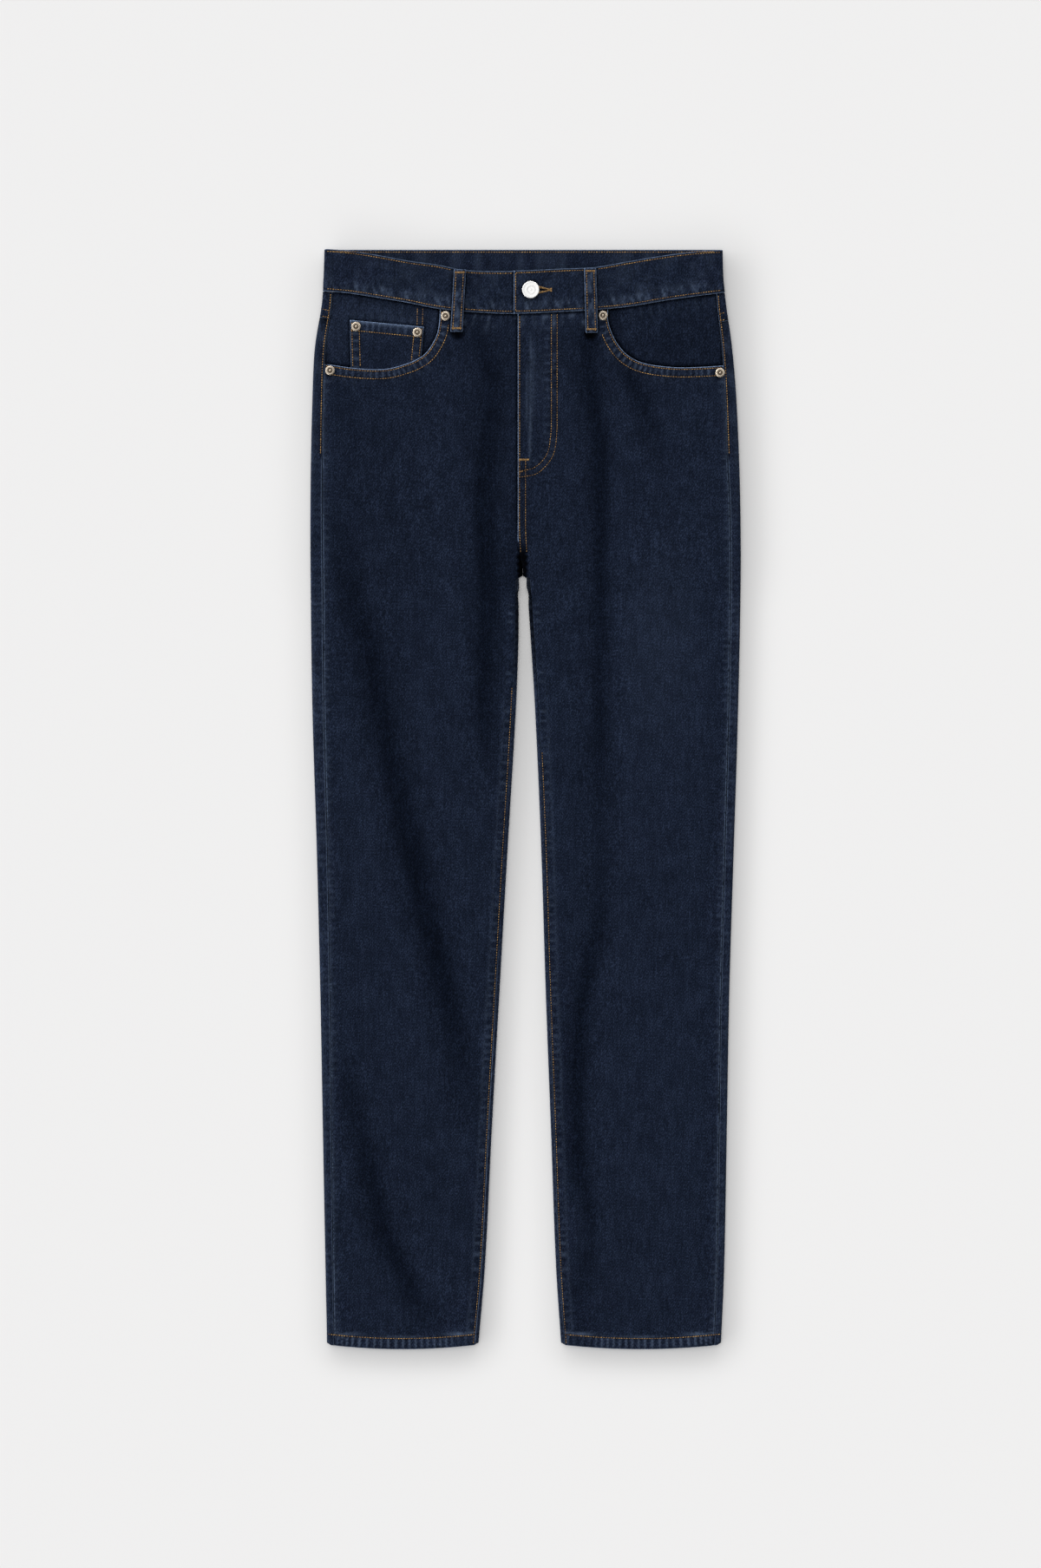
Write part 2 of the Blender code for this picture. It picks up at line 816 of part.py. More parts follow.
def buttonhole_cutter(cutters):
    """A keyhole: a round eye about the shank, running out to a narrow slit."""
    eye = SHANK_RADIUS + SEAM_GAP
    slit_end = 21.5
    slit_half = 0.7
    spread = math.radians(28)
    turns = 14
    outline = []
    for k in range(turns + 1):
        angle = mix(spread, 2 * math.pi - spread, k / turns)
        outline.append((BUTTON_X + eye * math.cos(angle), eye * math.sin(angle)))
    outline += [(slit_end, -slit_half), (slit_end + 0.6, 0), (slit_end, slit_half)]
    curve = bpy.data.curves.new("buttonhole_cutter", "CURVE")
    curve.dimensions = "2D"
    curve.fill_mode = "BOTH"
    low = UNDER_BAND_Z + BAND_WALL / 2 + 0.15
    high = TAB_Z + BAND_WALL / 2 + 0.5
    curve.extrude = (high - low) / 2 * MM
    spline = curve.splines.new("POLY")
    spline.points.add(len(outline) - 1)
    for point, (x, y) in zip(spline.points, outline):
        point.co = (*(at(x, BUTTON_HEIGHT + y, 0).xy), 0, 1)
    spline.use_cyclic_u = True
    drawn = bpy.data.objects.new("buttonhole_outline", curve)
    cutters.objects.link(drawn)
    drawn.location.z = (low + high) / 2 * MM
    graph = bpy.context.evaluated_depsgraph_get()
    mesh = bpy.data.meshes.new_from_object(drawn.evaluated_get(graph))
    bm = bmesh.new()
    bm.from_mesh(mesh)
    bmesh.ops.remove_doubles(bm, verts=bm.verts, dist=0.00001)
    bm.to_mesh(mesh)
    bm.free()
    made = bpy.data.objects.new("buttonhole_cutter", mesh)
    made.matrix_world = drawn.matrix_world.copy()
    made.location.z = (low + high) / 2 * MM
    bpy.data.objects.remove(drawn)
    return as_cutter(made, cutters)


def tack_cutter(cutters):
    """The hole that the button's tack makes in the band's under end."""
    low = BACK_BAND_Z + BAND_WALL / 2 + 0.15
    high = UNDER_BAND_Z + BAND_WALL / 2 + 0.15
    bm = bmesh.new()
    radius = (TACK_RADIUS + SEAM_GAP) * MM
    bmesh.ops.create_cone(
        bm, cap_ends=True, segments=12, radius1=radius, radius2=radius,
        depth=(high - low) * MM,
    )
    made = bpy.data.objects.new("tack_cutter", mesh_from(bm, "tack_cutter"))
    made.location = at(BUTTON_X, BUTTON_HEIGHT, (low + high) / 2)
    return as_cutter(made, cutters)


def turned(name, profile, steps, location, finish, collection):
    """A turned piece: (radius, height) from the top down its outer side to the bottom."""
    bm = bmesh.new()
    verts = [bm.verts.new((radius * MM, 0, z * MM)) for radius, z in profile]
    for a, b in zip(verts, verts[1:]):
        bm.edges.new((a, b))
    made = place(name, mesh_from(bm, name), finish, collection)
    made.location = location
    screw = made.modifiers.new("turn", "SCREW")
    screw.angle = 2 * math.pi
    screw.steps = steps
    screw.render_steps = steps
    screw.use_merge_vertices = True
    screw.merge_threshold = 0.00001
    screw.use_smooth_shade = True
    return made


def button(collection):
    """A domed jeans button on its shank, with the tack through the under end."""
    rim = TAB_Z + BAND_WALL / 2 + SEAM_GAP
    shank_foot = UNDER_BAND_Z + BAND_WALL / 2 + SEAM_GAP
    tack_foot = UNDER_BAND_Z - BAND_WALL / 2
    profile = [
        (0, rim + 1.9), (2.6, rim + 1.8), (3.6, rim + 2.3), (5.2, rim + 2.3),
        (7.6, rim + 1.9), (BUTTON_RADIUS, rim + 1.2), (BUTTON_RADIUS, rim + 0.5),
        (7.9, rim), (SHANK_RADIUS, rim), (SHANK_RADIUS, shank_foot),
        (TACK_RADIUS, shank_foot), (TACK_RADIUS, tack_foot), (0, tack_foot),
    ]
    return turned("button", profile, 24, at(BUTTON_X, BUTTON_HEIGHT, 0), steel(), collection)


def rivet(name, on, centre, collection):
    """A pressed rivet cap: a flat rim, a ring and a small raised nipple."""
    cloth = coin_z if on == "coin" else lambda x, h: front_z(on, x, h)
    around = [math.pi * k / 4 for k in range(8)]
    seat = max(
        cloth(centre.x + RIVET_RADIUS * math.cos(a), centre.height + RIVET_RADIUS * math.sin(a))
        for a in around
    )
    seat = max(seat, cloth(centre.x, centre.height)) + 0.25
    profile = [
        (0, 1.5), (1.3, 1.1), (1.6, 0.7), (3.2, 1.1), (4.3, 0.8), (RIVET_RADIUS, 0.3),
        (RIVET_RADIUS, 0), (0, 0),
    ]
    return turned(name, profile, 16, at(centre.x, centre.height, seat), brass(), collection)


def front_loop(name, side, top, foot, collection):
    """A belt loop over the band, its foot sewn down on the front panel."""
    rows = 10

    def face(x, height):
        over_band = band_face(side, x)
        over_panel = front_z(side, x, min(height, band_bottom(x)))
        below = band_bottom(x) - height
        return mix(over_band, over_panel, ease(1, 12, below)) + SEAM_GAP + LOOP_WALL

    def place_of(column, row):
        share = row / rows
        x = mix(foot.x, top.x, share) + LOOP_WIDTH * (column / 2 - 0.5)
        height = mix(foot.height, top.height, share)
        middle = mix(foot.x, top.x, share)
        z = max(face(middle + LOOP_WIDTH * e, height) for e in (-0.5, 0, 0.5))
        return at(x, height, z)

    made = strip(name, 2, rows, place_of, denim(), collection)
    return wall(made, LOOP_WALL)


def back_loop(name, x, collection):
    """A belt loop on the back, flat between the band and the surface below."""
    foot = 1029.0
    top = 1089.0
    bm = bmesh.new()
    bmesh.ops.create_cube(bm, size=MM)
    size = (LOOP_WIDTH, top - foot, LOOP_WALL)
    bmesh.ops.scale(bm, vec=size, verts=bm.verts)
    bmesh.ops.translate(bm, vec=at(x, (top + foot) / 2, LOOP_WALL / 2), verts=bm.verts)
    made = place(name, mesh_from(bm, name), denim(), collection)
    bevel = made.modifiers.new("edge", "BEVEL")
    bevel.width = 0.4 * MM
    bevel.segments = 1
    return made


def back_pocket(side, collection):
    """A five-cornered patch pocket on the outside of the back, flat on the surface."""
    half = POCKET_WIDTH / 2
    foot_half = half - 9
    shoulder = POCKET_TOP - POCKET_DEPTH + 26
    corners = [
        (-half, POCKET_TOP), (half, POCKET_TOP), (foot_half, shoulder),
        (0, POCKET_TOP - POCKET_DEPTH), (-foot_half, shoulder),
    ]
    middle = MIDDLE_X + SIGN[side] * POCKET_CENTRE
    bm = bmesh.new()
    outline = [bm.verts.new(at(middle + x, height, 0)) for x, height in corners]
    face = bm.faces.new(outline)
    face.normal_update()
    if face.normal.z > 0:
        face.normal_flip()
    made = place(f"back_pocket_{side}", mesh_from(bm, f"back_pocket_{side}"), denim(), collection)
    return wall(made, DENIM)


def zip_tape(collection):
    """The zip under the fly: tape with its chain as a thicker line down the middle."""
    columns = 5
    rows = 8
    start = UNDER_EDGE_X + SEAM_GAP
    width = 20.0

    def place_of(column, row):
        x = start + width * column / columns
        height = mix(FLY_FOOT, band_bottom(0) - 2.5, row / rows)
        z = lift(height) + rise_thickness(height)
        return at(x, height, z)

    made = strip("zip", columns, rows, place_of, denim(), collection)
    chain_wall = 2.0
    group = made.vertex_groups.new(name="wall")
    for vertex in made.data.vertices:
        column = round((vertex.co.x / MM - start) / width * columns)
        share = 1 if column in (2, 3) else DENIM / chain_wall
        group.add([vertex.index], share, "REPLACE")
    return wall(made, chain_wall, group="wall")


def zip_slider(collection):
    """The closed zip's slider and pull tab, flat on the chain under the fly."""
    height = 1014.0
    x = UNDER_EDGE_X + SEAM_GAP + 10
    outline = [
        (-4.5, 8), (4.5, 8), (4.5, -1), (2.5, -5), (2.5, -21), (1.2, -23), (-1.2, -23),
        (-2.5, -21), (-2.5, -5), (-4.5, -1),
    ]
    bm = bmesh.new()
    verts = []
    for dx, dy in outline:
        chain = lift(height + dy) + rise_thickness(height + dy)
        verts.append(bm.verts.new(at(x + dx, height + dy, chain + SEAM_GAP + SLIDER_WALL)))
    face = bm.faces.new(verts)
    face.normal_update()
    if face.normal.z < 0:
        face.normal_flip()
    made = place("zip_slider", mesh_from(bm, "zip_slider"), steel(), collection)
    return wall(made, SLIDER_WALL)


def build():
    for old in list(bpy.data.objects):
        bpy.data.objects.remove(old)
    collection = bpy.data.collections.new("jeans")
    cutters = bpy.data.collections.new("cutters")
    bpy.context.scene.collection.children.link(collection)
    bpy.context.scene.collection.children.link(cutters)
    for side in SIGN:
        front_panel(side, collection)
        pocket_facing(side, collection)
        back_panel(side, collection)
        yoke(side, collection)
        back_pocket(side, collection)
    coin_pocket(collection)
    waistband(collection, cutters)
    for name, (side, top, foot) in FRONT_LOOPS.items():
        front_loop(name, side, top, foot, collection)
    for name, x in BACK_LOOPS.items():
        back_loop(name, x, collection)
    zip_tape(collection)
    zip_slider(collection)
    button(collection)
    for name, (on, centre) in RIVETS.items():
        rivet(name, on, centre, collection)


build()
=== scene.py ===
# %% [markdown]
# # Dark denim jeans, laid flat
# The jeans are fastened and lie on their back on a pale floor, seen from straight above.
# Everything here is in one frame: the wearer's right lies at -X, the waist at +Y and the
# front faces up. The flat solids that carry the sizes are loaded first, and each is then
# replaced by a piece of cloth of the same cut, with its folds, puckers, edges and stitches.

import math
from collections import namedtuple

import bmesh
import bpy
import numpy as np
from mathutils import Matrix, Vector
from mathutils.bvhtree import BVHTree
from mathutils.geometry import delaunay_2d_cdt


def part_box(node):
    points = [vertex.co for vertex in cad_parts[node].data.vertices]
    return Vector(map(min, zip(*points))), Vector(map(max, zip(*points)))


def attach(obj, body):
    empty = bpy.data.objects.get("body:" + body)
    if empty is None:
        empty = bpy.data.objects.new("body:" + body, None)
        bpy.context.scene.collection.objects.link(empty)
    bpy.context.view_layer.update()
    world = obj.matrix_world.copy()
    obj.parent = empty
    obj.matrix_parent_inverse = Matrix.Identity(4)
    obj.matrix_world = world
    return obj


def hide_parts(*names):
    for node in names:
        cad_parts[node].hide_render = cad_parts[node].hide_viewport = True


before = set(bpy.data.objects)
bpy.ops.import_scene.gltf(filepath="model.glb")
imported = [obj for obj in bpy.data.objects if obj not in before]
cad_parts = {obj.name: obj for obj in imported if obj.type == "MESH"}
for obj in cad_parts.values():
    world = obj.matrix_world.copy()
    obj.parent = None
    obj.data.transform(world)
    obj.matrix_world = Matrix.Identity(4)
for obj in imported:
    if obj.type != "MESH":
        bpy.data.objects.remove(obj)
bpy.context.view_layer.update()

# %% [markdown]
# ## Sizes
# A pattern cutter works from a table of widths at named heights. The same tables are used
# here, in millimetres, with heights measured up from the lowest point of the hems. Smooth
# curves run between the rows, so a leg needs only a dozen of them.

# %% Sizes
MM = 0.001
LENGTH = 1090.0
MIDDLE_X = -2.6
CROTCH = 764.5
SIGN = {"right": -1, "left": 1}
DENIM = 1.2
HEM_WALL = 2.4
HEM_DEPTH = 11.0
SEAM_GAP = 0.3
LAYER = DENIM + SEAM_GAP
FULL = 5.9
LEAST = 3.4
SIDE_RADIUS = 2.7
HEM_RADIUS = 2.8
BAND_SIDE_RADIUS = 2.5
LIP = 0.9
BAND_WALL = 2.4
BACK_BAND_Z = 3.5
SIDE_BAND_Z = 7.3
UNDER_BAND_Z = 6.2
TAB_Z = 8.9
BAND_PROUD = 0.6
BAND_LEVEL = 1069.0
WAIST_GAP = 0.5
BACK_BAND_TOP = 1089.5
BACK_BAND_BOTTOM = 1048.5
TAB_END_X = -11.3
UNDER_END_X = 25.0
FLY_EDGE_X = -7.3
UNDER_EDGE_X = -1.5
FLY_LIFT = 1.5
SLIDER_LIFT = 2.7
OVERLAP = 22.0
POCKET_WIDTH = 150.0
POCKET_DEPTH = 160.0
POCKET_TOP = 950.0
POCKET_CENTRE = 104.0
LOOP_WIDTH = 12.0
LOOP_WALL = 2.0
BUTTON_X = 5.4
BUTTON_HEIGHT = 1049.6
BUTTON_RADIUS = 8.6
SHANK_RADIUS = 4.0
TACK_RADIUS = 1.25
RIVET_RADIUS = 4.75
MOUTH_ROWS = (1.9, 9.4)
COIN_ROW_OFFS = (1.9, 9.2)
COIN_HEM_ROW = 10.2
YOKE_ROWS_UP = (1.8, 8.8)
POCKET_ROW_OFFS = (1.8, 8.5)
OUTSEAM_ROW = 1.8
INSEAM_ROW = 1.3
HEM_ROW = 10.6
BAND_FOOT_ROW = 2.4
BAND_TOP_ROW = 1.9
LOOP_ROW = 3.7
FAR = 99.0
print("garment", LENGTH, "mm long, denim", DENIM, "mm thick")

# %% [markdown]
# ## Outline tables
# Each row is a place along an edge, so a whole leg needs about a dozen. The same numbers
# cut the solids, which is why the cloth made here fits them.

# %% Outline tables
Edge = namedtuple("Edge", "height right left")
Band = namedtuple("Band", "x top bottom")
Fold = namedtuple("Fold", "name half_width depth path")

SILHOUETTE = (
    Edge(0, -196.5, 193.9), Edge(82, -198.2, 197.4), Edge(219, -200.8, 200.0),
    Edge(357, -203.4, 202.5), Edge(494, -206.8, 206.8), Edge(632, -211.1, 211.1),
    Edge(763, -212.9, 213.7), Edge(856, -212.9, 212.9), Edge(942, -211.1, 209.4),
    Edge(993, -208.6, 205.1), Edge(1036, -201.7, 199.1), Edge(1062, -200.0, 196.5),
    Edge(1090, -199.1, 195.7),
)
INSEAM = (
    Edge(0, -47.0, 36.0), Edge(82, -40.0, 30.5), Edge(219, -33.1, 25.4),
    Edge(357, -25.4, 20.2), Edge(494, -17.6, 15.9), Edge(632, -9.4, 9.9),
    Edge(701, -6.8, 5.6), Edge(765, -6.5, 1.3),
)
OUTSEAM_INSET = (
    Edge(0, 7.0, 6.7), Edge(735, 12.3, 9.7), Edge(820, 12.0, 10.2), Edge(890, 11.4, 11.6),
    Edge(958, 10.8, 10.7), Edge(1024, 10.3, 9.4), Edge(1048, 9.7, 8.4),
)
FRONT_BAND = (
    Band(-198.5, 1090.0, 1048.6), Band(-175, 1088.1, 1046.6), Band(-146, 1083.8, 1042.2),
    Band(-116, 1078.3, 1037.2), Band(-88, 1074.5, 1031.6), Band(-58, 1069.0, 1028.3),
    Band(-12, 1068.2, 1026.2), Band(35, 1070.2, 1027.8), Band(70, 1071.9, 1029.9),
    Band(103, 1077.7, 1033.4), Band(143, 1084.2, 1040.2), Band(178, 1088.1, 1044.9),
    Band(196, 1088.9, 1047.1),
)
MOUTH = {
    "right": (
        (-198.4, 976.6), (-170, 972.4), (-141, 971.3), (-121, 975.6), (-106.6, 981.5),
        (-96.8, 989.3), (-87.9, 1004.7), (-85.2, 1018), (-84.5, 1031),
    ),
    "left": (
        (82, 1031), (82.4, 1017.6), (88.8, 1000.7), (100.6, 985.9), (118.3, 977.1),
        (148, 973.1), (177.6, 973.6), (197.3, 975),
    ),
}
print("waist %.0f mm wide, laid flat" % (SILHOUETTE[-1].left - SILHOUETTE[-1].right))

# %% [markdown]
# ## Folds, pocket and fittings
# The main folds are half pipes pressed into the front along a few points each. Rivets and
# loops are placed by their centres or ends.

# %% Folds, pocket and fittings
FOLDS = (
    Fold("right_rise", 17, 2.1, ((-49, 1012), (-39, 804), (-37, 560))),
    Fold("right_thigh", 20, 1.9, (
        (-181, 821), (-151, 675), (-121, 537), (-91, 417), (-65, 314), (-58, 236),
    )),
    Fold("right_shin", 17, 1.8, ((-172, 279), (-151, 185), (-121, FAR), (-84, 36))),
    Fold("left_rise", 18, 2.1, ((60, 985), (68, 907), (71, 778), (74, 560))),
    Fold("left_knee", 16, 1.2, ((74, 540), (73, 440))),
    Fold("left_shin", 17, 1.8, ((73, 408), (60, 348), (50, 271), (54, 185), (71, 133))),
    Fold("left_ankle", 13, 1.4, ((50, 64), (62, 34))),
    Fold("left_hip", 15, 1.3, ((98, 966), (116, 937), (135, 903))),
)
COIN_POCKET = (
    (-173.8, 1020), (-172.6, 964.5), (-140, 963.4), (-120, 966.5), (-104.2, 974),
    (-100.3, 1013.2),
)
FACING_UNDER = 12.0
COIN_ZONE = (-192.0, -176.0, -98.0, -84.0)
RIVETS = {
    "rivet_coin_outer": ("coin", (-167.6, 1013.4)),
    "rivet_coin_inner": ("coin", (-106.9, 1007.7)),
    "rivet_right_front": ("right", (-78.9, 1024.0)),
    "rivet_right_side": ("right", (-193.4, 970.0)),
    "rivet_left_front": ("left", (77.0, 1024.2)),
    "rivet_left_side": ("left", (193.2, 967.8)),
}
FRONT_LOOPS = {
    "belt_loop_front_right": ("right", (-64.7, 1069.8), (-68.1, 1008.2)),
    "belt_loop_front_left": ("left", (64.2, 1071.0), (65.9, 1007.2)),
}
BACK_LOOPS = {
    "belt_loop_back_right": -118.0,
    "belt_loop_back_centre": MIDDLE_X,
    "belt_loop_back_left": 113.0,
}
print("tables ready:", len(FOLDS), "main folds")

# %% [markdown]
# ## Curves and distances
# Cloth is described by fields: for any place on the garment a field gives a number, such
# as how thick the garment lies there. They are worked out for thousands of points at once,
# so each helper takes whole arrays.


# %% Curves and distances
def ease(start, end, value):
    """0 at start and before, 1 at end and past it, softly between."""
    t = np.clip((np.asarray(value, float) - start) / (end - start), 0, 1)
    return t * t * (3 - 2 * t)


def mix(first, second, share):
    return first + (second - first) * share


def bell(off, width):
    """1 on a line, falling softly to a third at the given width from it."""
    return np.exp(-((off / width) ** 2))


def read(table, column, at):
    """A column of a table at places between its rows, on a smooth curve."""
    keys = np.array([row[0] for row in table], float)
    values = np.array([getattr(row, column) for row in table], float)
    before = np.maximum(np.arange(len(keys)) - 1, 0)
    after = np.minimum(np.arange(len(keys)) + 1, len(keys) - 1)
    slopes = (values[after] - values[before]) / (keys[after] - keys[before])
    at = np.clip(at, keys[0], keys[-1])
    i = np.clip(np.searchsorted(keys, at, side="right") - 1, 0, len(keys) - 2)
    span = keys[i + 1] - keys[i]
    t = (at - keys[i]) / span
    return (
        values[i] * (1 + 2 * t) * (1 - t) ** 2
        + values[i + 1] * t * t * (3 - 2 * t)
        + slopes[i] * span * t * (1 - t) ** 2
        + slopes[i + 1] * span * t * t * (t - 1)
    )


def smooth_path(places, parts):
    """More places on a smooth curve through the given ones."""
    points = np.array(places, float)
    ends = np.vstack([2 * points[0] - points[1], points, 2 * points[-1] - points[-2]])
    curve = []
    for a, b, c, d in zip(ends, ends[1:], ends[2:], ends[3:]):
        for t in np.arange(parts) / parts:
            curve.append(0.5 * (
                2 * b + (c - a) * t + (2 * a - 5 * b + 4 * c - d) * t * t
                + (3 * b - a - 3 * c + d) * t ** 3
            ))
    return np.array(curve + [points[-1]])


def distance(path, x, height):
    """(distance to a path, positive on its left; length passed along it; share passed)."""
    x, height = np.broadcast_arrays(np.asarray(x, float), np.asarray(height, float))
    best = np.full(x.shape, 1e9)
    side, run, share = np.ones(x.shape), np.zeros(x.shape), np.zeros(x.shape)
    passed = 0.0
    for k, (a, b) in enumerate(zip(path, path[1:])):
        step = b - a
        length = math.hypot(*step)
        t = np.clip(((x - a[0]) * step[0] + (height - a[1]) * step[1]) / length ** 2, 0, 1)
        dx = x - a[0] - t * step[0]
        dy = height - a[1] - t * step[1]
        off = np.hypot(dx, dy)
        closer = off < best
        best = np.where(closer, off, best)
        side = np.where(closer, np.where(step[0] * dy - step[1] * dx > 0, 1, -1), side)
        run = np.where(closer, passed + t * length, run)
        share = np.where(closer, (k + t) / (len(path) - 1), share)
        passed += length
    return best * side, run, share


print("an ease is half way at", float(ease(0, 1, 0.5)))

# %% [markdown]
# ## Unevenness
# `rumple` is a smooth random surface with a set seed, for the unevenness that sewing and
# washing leave in cloth, and `ripple` is the little waves along a seam.


# %% Unevenness
def rumple(x, y, size_x, size_y, seed):
    """A smooth random surface between -1 and 1, with bumps of the given sizes."""
    cells = 64
    grid = np.random.default_rng(seed).uniform(-1, 1, (cells, cells))
    u = np.asarray(x, float) / size_x + 31.3
    v = np.asarray(y, float) / size_y + 17.7
    i, j = np.floor(u).astype(int), np.floor(v).astype(int)
    fu, fv = ease(0, 1, u - i), ease(0, 1, v - j)
    low = mix(grid[i % cells, j % cells], grid[(i + 1) % cells, j % cells], fu)
    high = mix(grid[i % cells, (j + 1) % cells], grid[(i + 1) % cells, (j + 1) % cells], fu)
    return mix(low, high, fv)


def ripple(run, pitch, seed):
    """Uneven little waves along a seam, each about one pitch long."""
    drift = rumple(run, 0, 4 * pitch, 1, seed)
    strength = 0.62 + 0.38 * rumple(run, 0, 2.2 * pitch, 1, seed + 1)
    return strength * np.sin(2 * math.pi * run / pitch + 4.5 * drift)


def stepped(start, end, step):
    """Even values from start to end, about a step apart."""
    return np.linspace(start, end, max(round(abs(end - start) / step), 1) + 1)


def line(xs, heights):
    return np.column_stack(np.broadcast_arrays(np.asarray(xs, float), np.asarray(heights, float)))


MOUTH_PATH = {side: smooth_path(places, 6) for side, places in MOUTH.items()}
FOLD_PATH = {fold.name: smooth_path(fold.path, 5) for fold in FOLDS}
print("pocket mouths run on", [len(path) for path in MOUTH_PATH.values()], "points")

# %% [markdown]
# ## How the laid garment rises and falls
# A pair of jeans on a table is two layers of cloth with a little air between. The front's
# height is the air plus the back, less the soft troughs where the cloth sinks in. The side
# edges are folds, not cut edges: the back turns round them and comes up onto the front.


# %% The form fields
def trough(x, height):
    """How far the main folds press the front down."""
    total = np.zeros(np.broadcast(x, height).shape)
    for fold in FOLDS:
        off, _, share = distance(FOLD_PATH[fold.name], x, height)
        ends = ease(0, 0.18, share) * ease(1, 0.82, share) * 0.6 + 0.4
        total = total + fold.depth * ends * bell(off, fold.half_width)
    return total


def lift(height):
    return 1.5 * ease(740, 786, height) + 1.4 * ease(955, 1046, height)


def side_radius(height):
    radius = mix(HEM_RADIUS, SIDE_RADIUS, ease(14, 40, height))
    return mix(radius, BAND_SIDE_RADIUS, ease(985, 1040, height))


def outer_x(side, height):
    return read(SILHOUETTE, side, height)


def outseam_x(side, height):
    return outer_x(side, height) - SIGN[side] * read(OUTSEAM_INSET, side, height)


def rise_thickness(height):
    return mix(3.2, 4.2, ease(CROTCH, 1010, height))


def middle_thickness(side, height):
    extra = mix(FLY_LIFT, SLIDER_LIFT, ease(950, 982, height)) if side == "left" else 0
    return rise_thickness(np.maximum(height, CROTCH)) + extra


def inner_radius(side, height):
    at_crotch = middle_thickness(side, CROTCH) / 2
    return mix(at_crotch, side_radius(height), ease(CROTCH, 690, height))


def inseam_x(side, height):
    return read(INSEAM, side, height) + SIGN[side] * (inner_radius(side, height) + LIP)


print("hem to crotch %.0f mm" % CROTCH, "inner fold radius %.1f mm" % inner_radius("left", 300))

# %% [markdown]
# ## The waist and the whole thickness
# The waistband is stiff, so it sets the height of the top edge. `thickness` joins the fly,
# the edges, the band and the folds with soft steps, and every front piece reads it.


# %% The waist and the whole thickness
def band_z(side, x):
    if side == "right":
        return mix(UNDER_BAND_Z, SIDE_BAND_Z, ease(30, 130, -x))
    return mix(TAB_Z, SIDE_BAND_Z, ease(45, 140, x))


def band_face(side, x):
    return band_z(side, x) + BAND_WALL / 2


def band_bottom(x):
    return read(FRONT_BAND, "bottom", x)


def band_top(x):
    return read(FRONT_BAND, "top", x)


def band_bend(side):
    radius = (SIDE_BAND_Z - BACK_BAND_Z) / 2
    return outer_x(side, BAND_LEVEL) - SIGN[side] * (radius + BAND_WALL / 2)


def thickness(side, x, height):
    """Thickness of the laid garment at a place, from outer face to outer face."""
    sign = SIGN[side]
    body = np.maximum(FULL - trough(x, height), LEAST)
    body = np.where((height > 955) & (np.abs(x) > 62), np.maximum(body, 4.7), body)
    body = mix(2 * HEM_RADIUS, body, ease(14, 46, height))
    flap = OVERLAP if side == "left" else 0
    above = height > CROTCH
    edge = np.where(above, middle_thickness(side, height), 2 * inner_radius(side, height))
    reach = np.where(above, sign * (x - MIDDLE_X), sign * (x - inseam_x(side, height)))
    width = np.where(above, 42, mix(42, 16, ease(CROTCH, 660, height)))
    flap = np.where(above, flap, flap * ease(700, CROTCH, height))
    body = mix(edge, body, ease(flap, flap + width, reach))
    at_band = band_face(side, x) - BAND_PROUD - lift(height)
    body = mix(body, at_band, ease(38, 3, band_bottom(x) - height))
    from_side = sign * (outseam_x(side, height) - x)
    return mix(2 * side_radius(height), body, ease(2, 24, from_side))


def front_z(side, x, height):
    return lift(height) + thickness(side, x, height)


def facing_z(side, x, height):
    near = ease(28, 4, distance(MOUTH_PATH[side], x, height)[0])
    start, full, full_end, end = COIN_ZONE
    share = ease(start, full, x) * ease(end, full_end, x) if side == "right" else 0
    drop = mix(mix(0.2, LAYER, near), LAYER + LAYER * near, share)
    return front_z(side, x, height) - drop


def coin_z(x, height):
    return facing_z("right", x, height) + LAYER


def hem_height(side, x):
    low, high = outer_x(side, 0), read(INSEAM, side, 0)
    return 4.5 * ((x - (low + high) / 2) / ((high - low) / 2)) ** 2


def yoke_height(side, x):
    share = np.minimum(np.abs(x - MIDDLE_X) / 205, 1)
    return mix(976, {"right": 1023.5, "left": 1019.5}[side], share)


print("garment lies %.1f mm thick on a thigh" % front_z("right", -120.0, 700.0))
